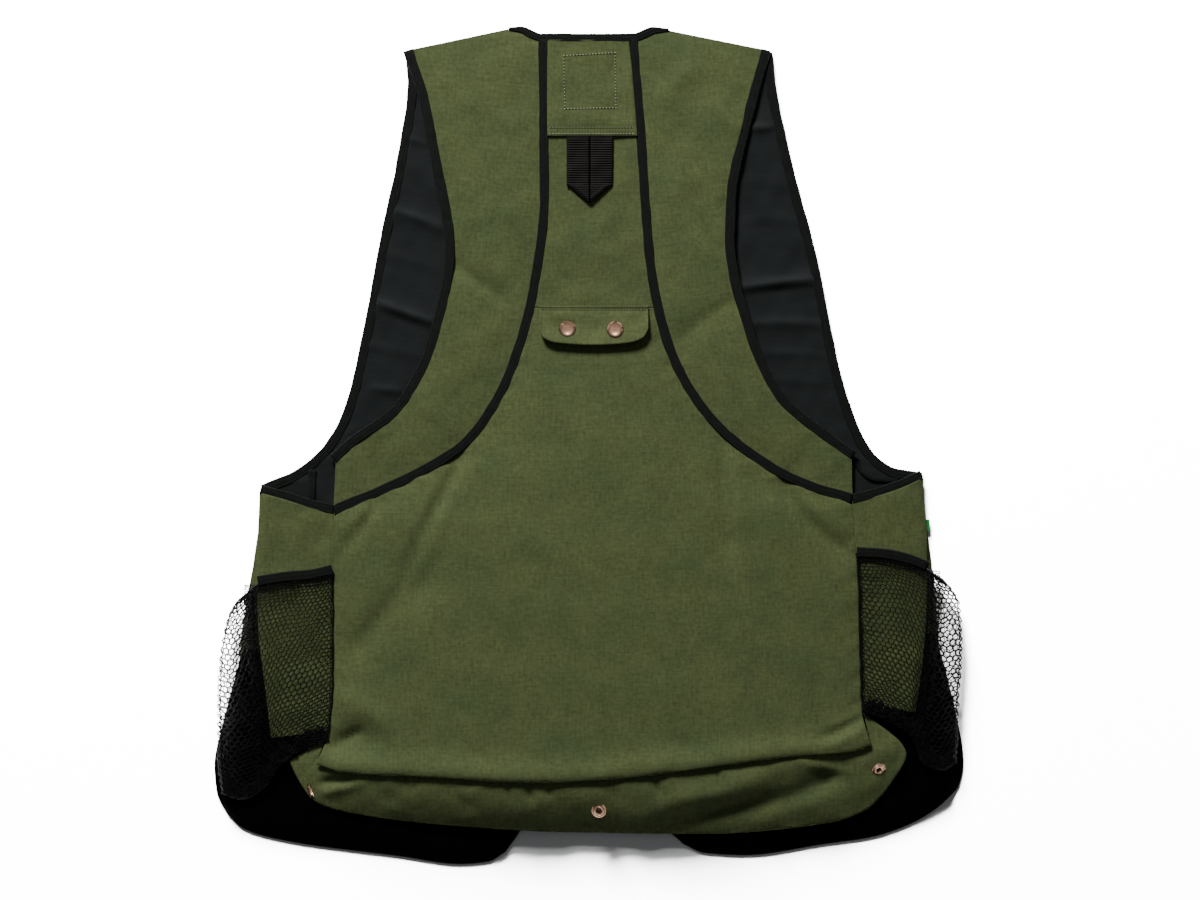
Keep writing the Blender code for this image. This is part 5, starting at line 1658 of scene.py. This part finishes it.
class VEST_OT_webbing(VestPiece, bpy.types.Operator):
    """Fold the ribbed webbing to a point under the yoke's hem"""

    bl_idname = "vest.webbing"
    bl_label = "Webbing loop"

    def execute(self, context):
        cut = Cut(context)
        low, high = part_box("webbing_loop")
        top = high.z / MM
        wall = (high.z - low.z) / MM
        halves = []
        for side, sign in (("left", -1), ("right", 1)):
            left_x, right_x = sorted((WEBBING_MIDDLE + sign * WEBBING_HALF, WEBBING_MIDDLE + sign * 0.12))
            rows = np.linspace(WEBBING_TOP_Y, WEBBING_TURN_Y, 150)
            columns = close_ends(right_x - left_x, 1.6, 0.9)
            x = left_x + columns * (right_x - left_x)
            grid = np.zeros((len(rows), len(x), 3))
            grid[:, :, 0] = x[None]
            grid[:, :, 1] = rows[:, None]
            ribs = np.abs(np.sin(math.pi * rows / WEBBING_RIB)) ** 0.8
            edge = np.clip(np.minimum(columns, 1 - columns) * 14, 0, 1)
            grid[:, :, 2] = top - 0.8 + 0.8 * ribs[:, None] * edge[None]
            grid[:, :, 2] += 0.35 * waves(grid[:, :, 0], grid[:, :, 1], 22, 5)
            halves.append(self.strip("webbing_run_" + side, grid, wall - 0.9))
            tip_x = WEBBING_MIDDLE + sign * 1.3
            tip = panel(
                line((left_x, WEBBING_TURN_Y + 1.6, top), (min(tip_x, WEBBING_MIDDLE), WEBBING_TIP_Y, top)),
                line((right_x, WEBBING_TURN_Y + 1.6, top), (max(tip_x, WEBBING_MIDDLE), WEBBING_TIP_Y, top)),
                step=0.7,
                turn=1.2,
            )
            across, from_right, down, _ = grid_runs(tip)
            from_edge = 0.64 * (across if sign < 0 else from_right)
            fine = np.abs(np.sin(math.pi * (tip[:, :, 0] * sign - tip[:, :, 1]) / 2.4))
            tip[:, :, 2] += 0.25 + 0.12 * fine + 0.45 * np.exp(-((from_edge - 3.1) / 0.55) ** 2)
            tip[:, :, 2] -= 0.7 * soft_step(1 - from_edge / 2.2) + 0.6 * soft_step(1 - down / 1.6)
            halves.append(self.strip("webbing_tip_" + side, tip, wall - 0.3))
        bpy.context.view_layer.objects.active = halves[0]
        for piece in bpy.context.selected_objects:
            piece.select_set(False)
        for piece in halves:
            piece.select_set(True)
        bpy.ops.object.join()
        loop = halves[0]
        loop.name = "webbing_loop_cloth"
        ride_for(loop, "webbing_loop")
        return {"FINISHED"}

    def strip(self, name, grid, wall):
        """One flat run of webbing, with its map turned so that its length comes first."""
        piece = shell(name, grid, wall, "webbing")
        layer = piece.data.uv_layers["cloth_map"].data
        uvs = np.zeros(len(layer) * 2, dtype=np.float32)
        layer.foreach_get("uv", uvs)
        layer.foreach_set("uv", uvs.reshape(-1, 2)[:, ::-1].ravel().copy())
        return piece


class VEST_OT_game_bag(VestPiece, bpy.types.Operator):
    """Build the game bag: its inner layer, its outer panel and the gusset under its crease"""

    bl_idname = "vest.game_bag"
    bl_label = "Game bag"

    def execute(self, context):
        cut = Cut(context)
        solid_sheet("back_body", "lining")
        grid = bag_surface_grid(cut)
        for edge in ("left", "right"):
            grid = puckered(grid, edge, 0.45, 17, 8, cut.seed + 61)
        grid = puckered(grid, "bottom", 0.7, 34, 14, cut.seed + 62)
        sheet_piece(
            "bag_panel", grid, cut.canvas, "canvas", ["back_body", "bag_gusset"],
            grain=1, turns=(0.3, 1.1, 0, 2.8),
        )
        hem = spline(BAG_HEM)
        hem[:, 2] -= 3.2 * np.exp(-((hem[:, 0] / 32) ** 2))
        crease = raised(shifted(spline(BAG_CREASE), 3.5), -5.2)
        left_wing = line(GUSSET_WINGS[0], crease[0], 30)
        right_wing = line(crease[-1], GUSSET_WINGS[1], 30)
        top = np.vstack((left_wing[:-1], crease, right_wing[1:]))
        grid = panel(line(top[0], hem[0]), line(top[-1], hem[-1]), top, hem, step=2.4)
        grid = creased(crowned(grid, 6.0), GUSSET_CREASES, 1.6)
        grid = rumpled(grid, 0.5, 34, cut.seed + 65, keep=7.0)
        grid = puckered(grid, "top", 0.6, 13, 8, cut.seed + 66)
        grid = pressed(grid, grid_runs(grid)[3], 7.5, 1.2, -0.3)
        sheet_piece(
            "bag_gusset", grid, cut.canvas, "canvas",
            ["back_body", "front_pocket_left", "front_pocket_right"], grain=1, turns=(0, 0, 0, 0.9),
        )
        surface = surface_of(grid)
        for place, (x, y) in SNAP_SOCKETS.items():
            height, normal = height_over(surface, x, y)
            name = "snap_socket_" + place
            facing = normal + Vector(SNAP_TILTS[place])
            ring = lathe(name + "_ring", SOCKET_PROFILE, (x, y, height), facing, "bronze")
            ride_for(ring, name)
        return {"FINISHED"}


class VEST_OT_flap(VestPiece, bpy.types.Operator):
    """Close the flap over the bag's mouth with its two snaps"""

    bl_idname = "vest.flap"
    bl_label = "Flap and snaps"

    def execute(self, context):
        cut = Cut(context)
        bag = surface_of(bag_surface_grid(cut))
        hem = spline(FLAP_HEM)
        left = line((FLAP_X[0], FLAP_TOP_Y, 0), hem[0])
        right = line((FLAP_X[1], FLAP_TOP_Y, 0), hem[-1])
        grid = panel(left, right, bottom=hem, step=1.6)
        below_seam = grid.copy()
        below_seam[:, :, 1] = np.minimum(grid[:, :, 1], BAG_TOP_Y - 0.8)
        grid[:, :, 2] = draped(below_seam, bag, cut.canvas + 2 * cut.gap)[:, :, 2]
        from_left, from_right, from_top, from_below = grid_runs(grid)
        nearest = np.minimum.reduce((from_left, from_right, from_below))
        grid[:, :, 2] += 3.4 * soft_step(1 - from_below / 20) + 0.8 * soft_step(from_top / 12)
        grid = pressed(pressed(grid, nearest, 4.0, 1.0, -0.4), from_top, 3.2, 1.1, -0.5)
        grid[:, :, 2] += 0.5 * soft_step(1 - from_top / 2.5)
        grid = rumpled(grid, 0.25, 22, cut.seed + 71, keep=5.0)
        for x, y in SNAP_CAPS.values():
            away = np.hypot(grid[:, :, 0] - x, grid[:, :, 1] - y)
            grid[:, :, 2] -= 0.7 * np.exp(-((away / 10) ** 2))
        sheet_piece("flap", grid, cut.canvas, "canvas", ["bag_panel"], turns=(0.6, 0.6, 0, 0.8))
        surface = surface_of(grid)
        row = draped(line(*FLAP_ROW, 70), surface, 0.1)
        stitched("flap_top_stitches", [row], "green_thread", cut.sizes)
        for side, (x, y) in SNAP_CAPS.items():
            height, normal = height_over(surface, x, y)
            name = "snap_cap_" + side
            dome = lathe(name + "_dome", CAP_PROFILE, (x, y, height + 0.1), normal, "bronze", steps=48)
            ride_for(dome, name)
        return {"FINISHED"}


class VEST_OT_sides(VestPiece, bpy.types.Operator):
    """Lay the side panels with the tapes along their upper edges"""

    bl_idname = "vest.sides"
    bl_label = "Sides"

    def execute(self, context):
        cut = Cut(context)
        for side in SIDES:
            sign = SIGN[side]
            path = raised(spline(SIDE_TOP[side]), -cut.pocket / 2)
            mitred = (sign < 0, sign > 0)
            tape = binding("side_top_binding_" + side, path, cut, 83, mitred=mitred)
            turns = (0, 1.0, 0, 0) if side == "left" else (1.2, 0, 0, 0)
            sheet_piece(
                "side_" + side, side_grid(cut, side), cut.pocket, "canvas", ["front_" + side, "back_body"],
                [tape], grain=2 * sign, turns=turns,
            )
        tab = solid_copy("side_tab_cloth", "side_tab", "tab_cloth")
        ride_for(tab, "side_tab")
        return {"FINISHED"}


def net_lattice(left, right, top, bottom, cell, bunching, seed, twist):
    """Points over a pocket, every other row half a cell aside, unevenly drawn, and their triangles."""
    width = (runs(top)[-1] + runs(bottom)[-1]) / 2
    length = (runs(left)[-1] + runs(right)[-1]) / 2
    columns = max(4, round(width / cell))
    rows = 2 * max(1, round(length * bunching / (cell * 0.87) / 2)) + 1
    shares = (np.arange(columns)[None] + 0.5 * (np.arange(rows)[:, None] % 2)) / (columns - 0.5)
    drawn = waves(shares * width, even(rows)[:, None] * length, 60, seed)
    u = shares + 0.012 * np.sin(math.pi * shares) * drawn
    v = even(rows)[:, None] + 0 * u
    v = v + 0.3 * (soft_step(v) - v)
    sway = twist * 0.03 + 0.015 * waves(shares * width, v * length, 70, seed + 3)
    v = np.clip(v + np.sin(math.pi * v) * sway * np.sin(2 * math.pi * shares), 0, 1)
    u = np.clip(u, 0, 1)
    grid = []
    for row in range(rows):
        down, across = v[row][:, None], u[row][:, None]
        ends = (1 - down) * along(top, u[row]) + down * along(bottom, u[row])
        sides = (1 - across) * along(left, v[row]) + across * along(right, v[row])
        corner = (1 - down) * ((1 - across) * top[0] + across * top[-1])
        corner = corner + down * ((1 - across) * bottom[0] + across * bottom[-1])
        grid.append(sides + ends - corner)
    faces = []
    for row in range(rows - 1):
        for column in range(columns - 1):
            a = row * columns + column
            b, c, d = a + 1, a + columns, a + columns + 1
            faces += [(a, c, d), (a, d, b)] if row % 2 else [(a, c, b), (b, c, d)]
    return np.array(grid), faces


class VEST_OT_net_pockets(VestPiece, bpy.types.Operator):
    """Hang the net pockets on the sides, with the tapes along their mouths"""

    bl_idname = "vest.net_pockets"
    bl_label = "Net pockets"

    def execute(self, context):
        cut = Cut(context)
        for side in SIDES:
            sign = SIGN[side]
            outer = spline(NET_OUTER[side])
            seam = between(spline(SIDE_SEAM[side]), *NET_SEAM_Y[side])
            inner = shifted(raised(seam, 1.5), -sign * cut.gap)
            mouth = spline(NET_MOUTH[side])
            top = shifted(mouth, -cut.reach)
            hem = spline(NET_HEM[side])
            left, right = in_order(side, outer, inner)
            left[0], right[0] = top[0], top[-1]
            left[-1], right[-1] = hem[0], hem[-1]
            fold_top_y = NET_MOUTH[side][0 if sign > 0 else -1][1] - 4
            fold = between(spline(SIDE_FOLD[side]), fold_top_y, NET_FOLD_END_Y)
            share = 0.3 if sign > 0 else 0.7
            shares = np.linspace(*((0, share) if sign > 0 else (share, 1)), 60)
            back_top, back_hem = raised(along(top, shares), -1.3), raised(along(hem, shares), -1.3)
            back_fold = raised(shifted(fold, -sign * 3), 1.0)
            back_left, back_right = in_order(side, raised(outer, -1.3), back_fold)
            back_left[0], back_right[0] = back_top[0], back_top[-1]
            back_left[-1], back_right[-1] = back_hem[0], back_hem[-1]
            beside = raised(shifted(fold, -sign * 12), -0.8)
            seed = cut.seed + 91 + sign
            ragged = 11 + 3.5 * waves(runs(hem), 0 * runs(hem), 9, seed)
            gathered = raised(shifted(hem, ragged[:, None]), 0.4)
            under_mouth = raised(shifted(top, -5), 0.2)
            name = "mesh_pocket_" + side
            under = surface_of(side_grid(cut, side))
            for layer, edges in (
                ("_net", (left, right, top, hem)),
                ("_back_net", (back_left, back_right, back_top, back_hem)),
                ("_fold_net", self.with_ends(*in_order(side, beside, fold))),
                ("_gathers", self.with_sides(gathered, hem)),
                ("_mouth_net", self.with_sides(top, under_mouth)),
            ):
                net = self.net(name + layer, edges, under, cut, seed, *NET_LAYERS[layer])
                ride_for(net, name if layer == "_net" else None)
            binding("mesh_binding_" + side, mouth, cut, 97)
            for part, path, width, wobble in (
                ("_hem", raised(hem, -0.6), 2.0, 6.0),
                ("_seam", raised(inner, -0.3), NET_SEAM_CORD[side], 2.5),
            ):
                cord = ribbon(name + part, path, width, 1.1, "net", cut.seed + 98, step=1.4, wobble=wobble)
                ride_for(cord, None)
        return {"FINISHED"}

    def with_ends(self, left, right):
        """Four edges from a left and a right one."""
        return left, right, line(left[0], right[0]), line(left[-1], right[-1])

    def with_sides(self, top, bottom):
        """Four edges from an upper and a lower one."""
        return line(top[0], bottom[0]), line(top[-1], bottom[-1]), top, bottom

    def net(self, name, edges, under, cut, seed, share, bunching, crown, more, thread, twist, uneven):
        """A net between four edges, kept over the side panel."""
        seed += more
        cell = cut.sizes.net_cell / MM * share
        grid, faces = net_lattice(*edges, cell, bunching, seed, twist)
        grid = crowned(grid, crown)
        grid[:, :, 2] += 0.5 * waves(grid[:, :, 0], grid[:, :, 1], 24, seed + 1)
        for point in grid.reshape(-1, 3):
            height, _ = height_over(under, point[0], point[1])
            if height is not None:
                point[2] = max(point[2], height + 0.9)
        mesh = bpy.data.meshes.new(name + "_lattice")
        mesh.from_pydata(placed(grid).tolist(), [], faces)
        values = {
            "Thread Radius": cut.sizes.net_thread * thread,
            "Unevenness": NET_UNEVENNESS * uneven,
            "Seed": seed,
            "Material": finish_named("net"),
        }
        return grown(name, linked(name + "_lattice", mesh), "hexagonal net", values)


class VEST_OT_stage(VestPiece, bpy.types.Operator):
    """Set the pale floor, the soft light from the upper left and the camera straight over the vest"""

    bl_idname = "vest.stage"
    bl_label = "Floor, light and camera"

    def execute(self, context):
        stage = context.scene.vest_stage
        floor_finish(stage.floor_colour)
        mesh = bpy.data.meshes.new("floor")
        corners = [
            (x * FLOOR_REACH, y * FLOOR_REACH, -FLOOR_DEPTH) for x, y in ((-1, -1), (1, -1), (1, 1), (-1, 1))
        ]
        mesh.from_pydata(corners, [], [(0, 1, 2, 3)])
        mesh.materials.append(finish_named("pale_floor"))
        floor = linked("floor", mesh)
        floor.visible_diffuse = False
        made = list(context.scene.objects)
        metal = [piece for piece in made if piece.name.startswith(("snap_", "zip_slider"))]
        cloth = [piece for piece in made if piece not in metal]
        self.lamp("key", *KEY_LAMP, stage.key_power, cloth)
        self.lamp("glint", *GLINT_LAMP, stage.glint_power, metal)
        self.lamp("spark", *SPARK_LAMP, stage.glint_power * SPARK_SHARE, metal)
        self.lamp("floor_light", *FLOOR_LAMP, stage.floor_power, [floor])
        world = bpy.data.worlds.new("even light")
        world.use_nodes = True
        sky = world.node_tree.nodes["Background"]
        sky.inputs["Color"].default_value = SKY_COLOUR
        sky.inputs["Strength"].default_value = stage.sky
        context.scene.world = world
        data = bpy.data.cameras.new("camera")
        data.sensor_width = SENSOR_WIDTH
        data.lens = SENSOR_WIDTH * stage.camera_height / stage.view_width
        data.clip_end = 20.0
        camera = linked("camera", data)
        camera.location = (*VIEW_CENTRE, stage.camera_height)
        context.scene.camera = camera
        return {"FINISHED"}

    def lamp(self, name, place, size, power, only_on):
        """A square soft light that points at the middle of the vest and lights the objects given."""
        data = bpy.data.lights.new(name, "AREA")
        data.size = size
        data.energy = power
        lamp = linked(name, data)
        lamp.location = place
        lamp.rotation_euler = (-Vector(place)).to_track_quat("-Z", "Y").to_euler()
        lit = bpy.data.collections.new("lit by " + name)
        for each in only_on:
            lit.objects.link(each)
        lamp.light_linking.receiver_collection = lit


STEPS = (
    VEST_OT_finishes, VEST_OT_fronts, VEST_OT_linings, VEST_OT_pocket_bags, VEST_OT_zip, VEST_OT_straps,
    VEST_OT_centre, VEST_OT_webbing, VEST_OT_game_bag, VEST_OT_flap, VEST_OT_sides, VEST_OT_net_pockets,
    VEST_OT_stage,
)


class VEST_PT_panel(bpy.types.Panel):
    """The vest's settings and steps, in the 3D view's sidebar"""

    bl_idname = "VEST_PT_panel"
    bl_label = "Dog training vest"
    bl_space_type = "VIEW_3D"
    bl_region_type = "UI"
    bl_category = "Vest"

    def draw(self, context):
        for group in (context.scene.vest_sizes, context.scene.vest_colours, context.scene.vest_stage):
            box = self.layout.box()
            for label in group.__annotations__:
                box.prop(group, label)
        for step in STEPS:
            self.layout.operator(step.bl_idname)


CLASSES = (VestSizes, VestColours, VestStage, *STEPS, VEST_PT_panel)


def register():
    """Add the vest's settings, steps and panel."""
    for each in CLASSES:
        bpy.utils.register_class(each)
    bpy.types.Scene.vest_sizes = PointerProperty(type=VestSizes)
    bpy.types.Scene.vest_colours = PointerProperty(type=VestColours)
    bpy.types.Scene.vest_stage = PointerProperty(type=VestStage)


def unregister():
    """Take them away again."""
    del bpy.types.Scene.vest_stage
    del bpy.types.Scene.vest_colours
    del bpy.types.Scene.vest_sizes
    for each in reversed(CLASSES):
        bpy.utils.unregister_class(each)


def main():
    """Make the whole vest."""
    register()
    for step in STEPS:
        family, name = step.bl_idname.split(".")
        getattr(getattr(bpy.ops, family), name)()


if __name__ == "__main__":
    main()
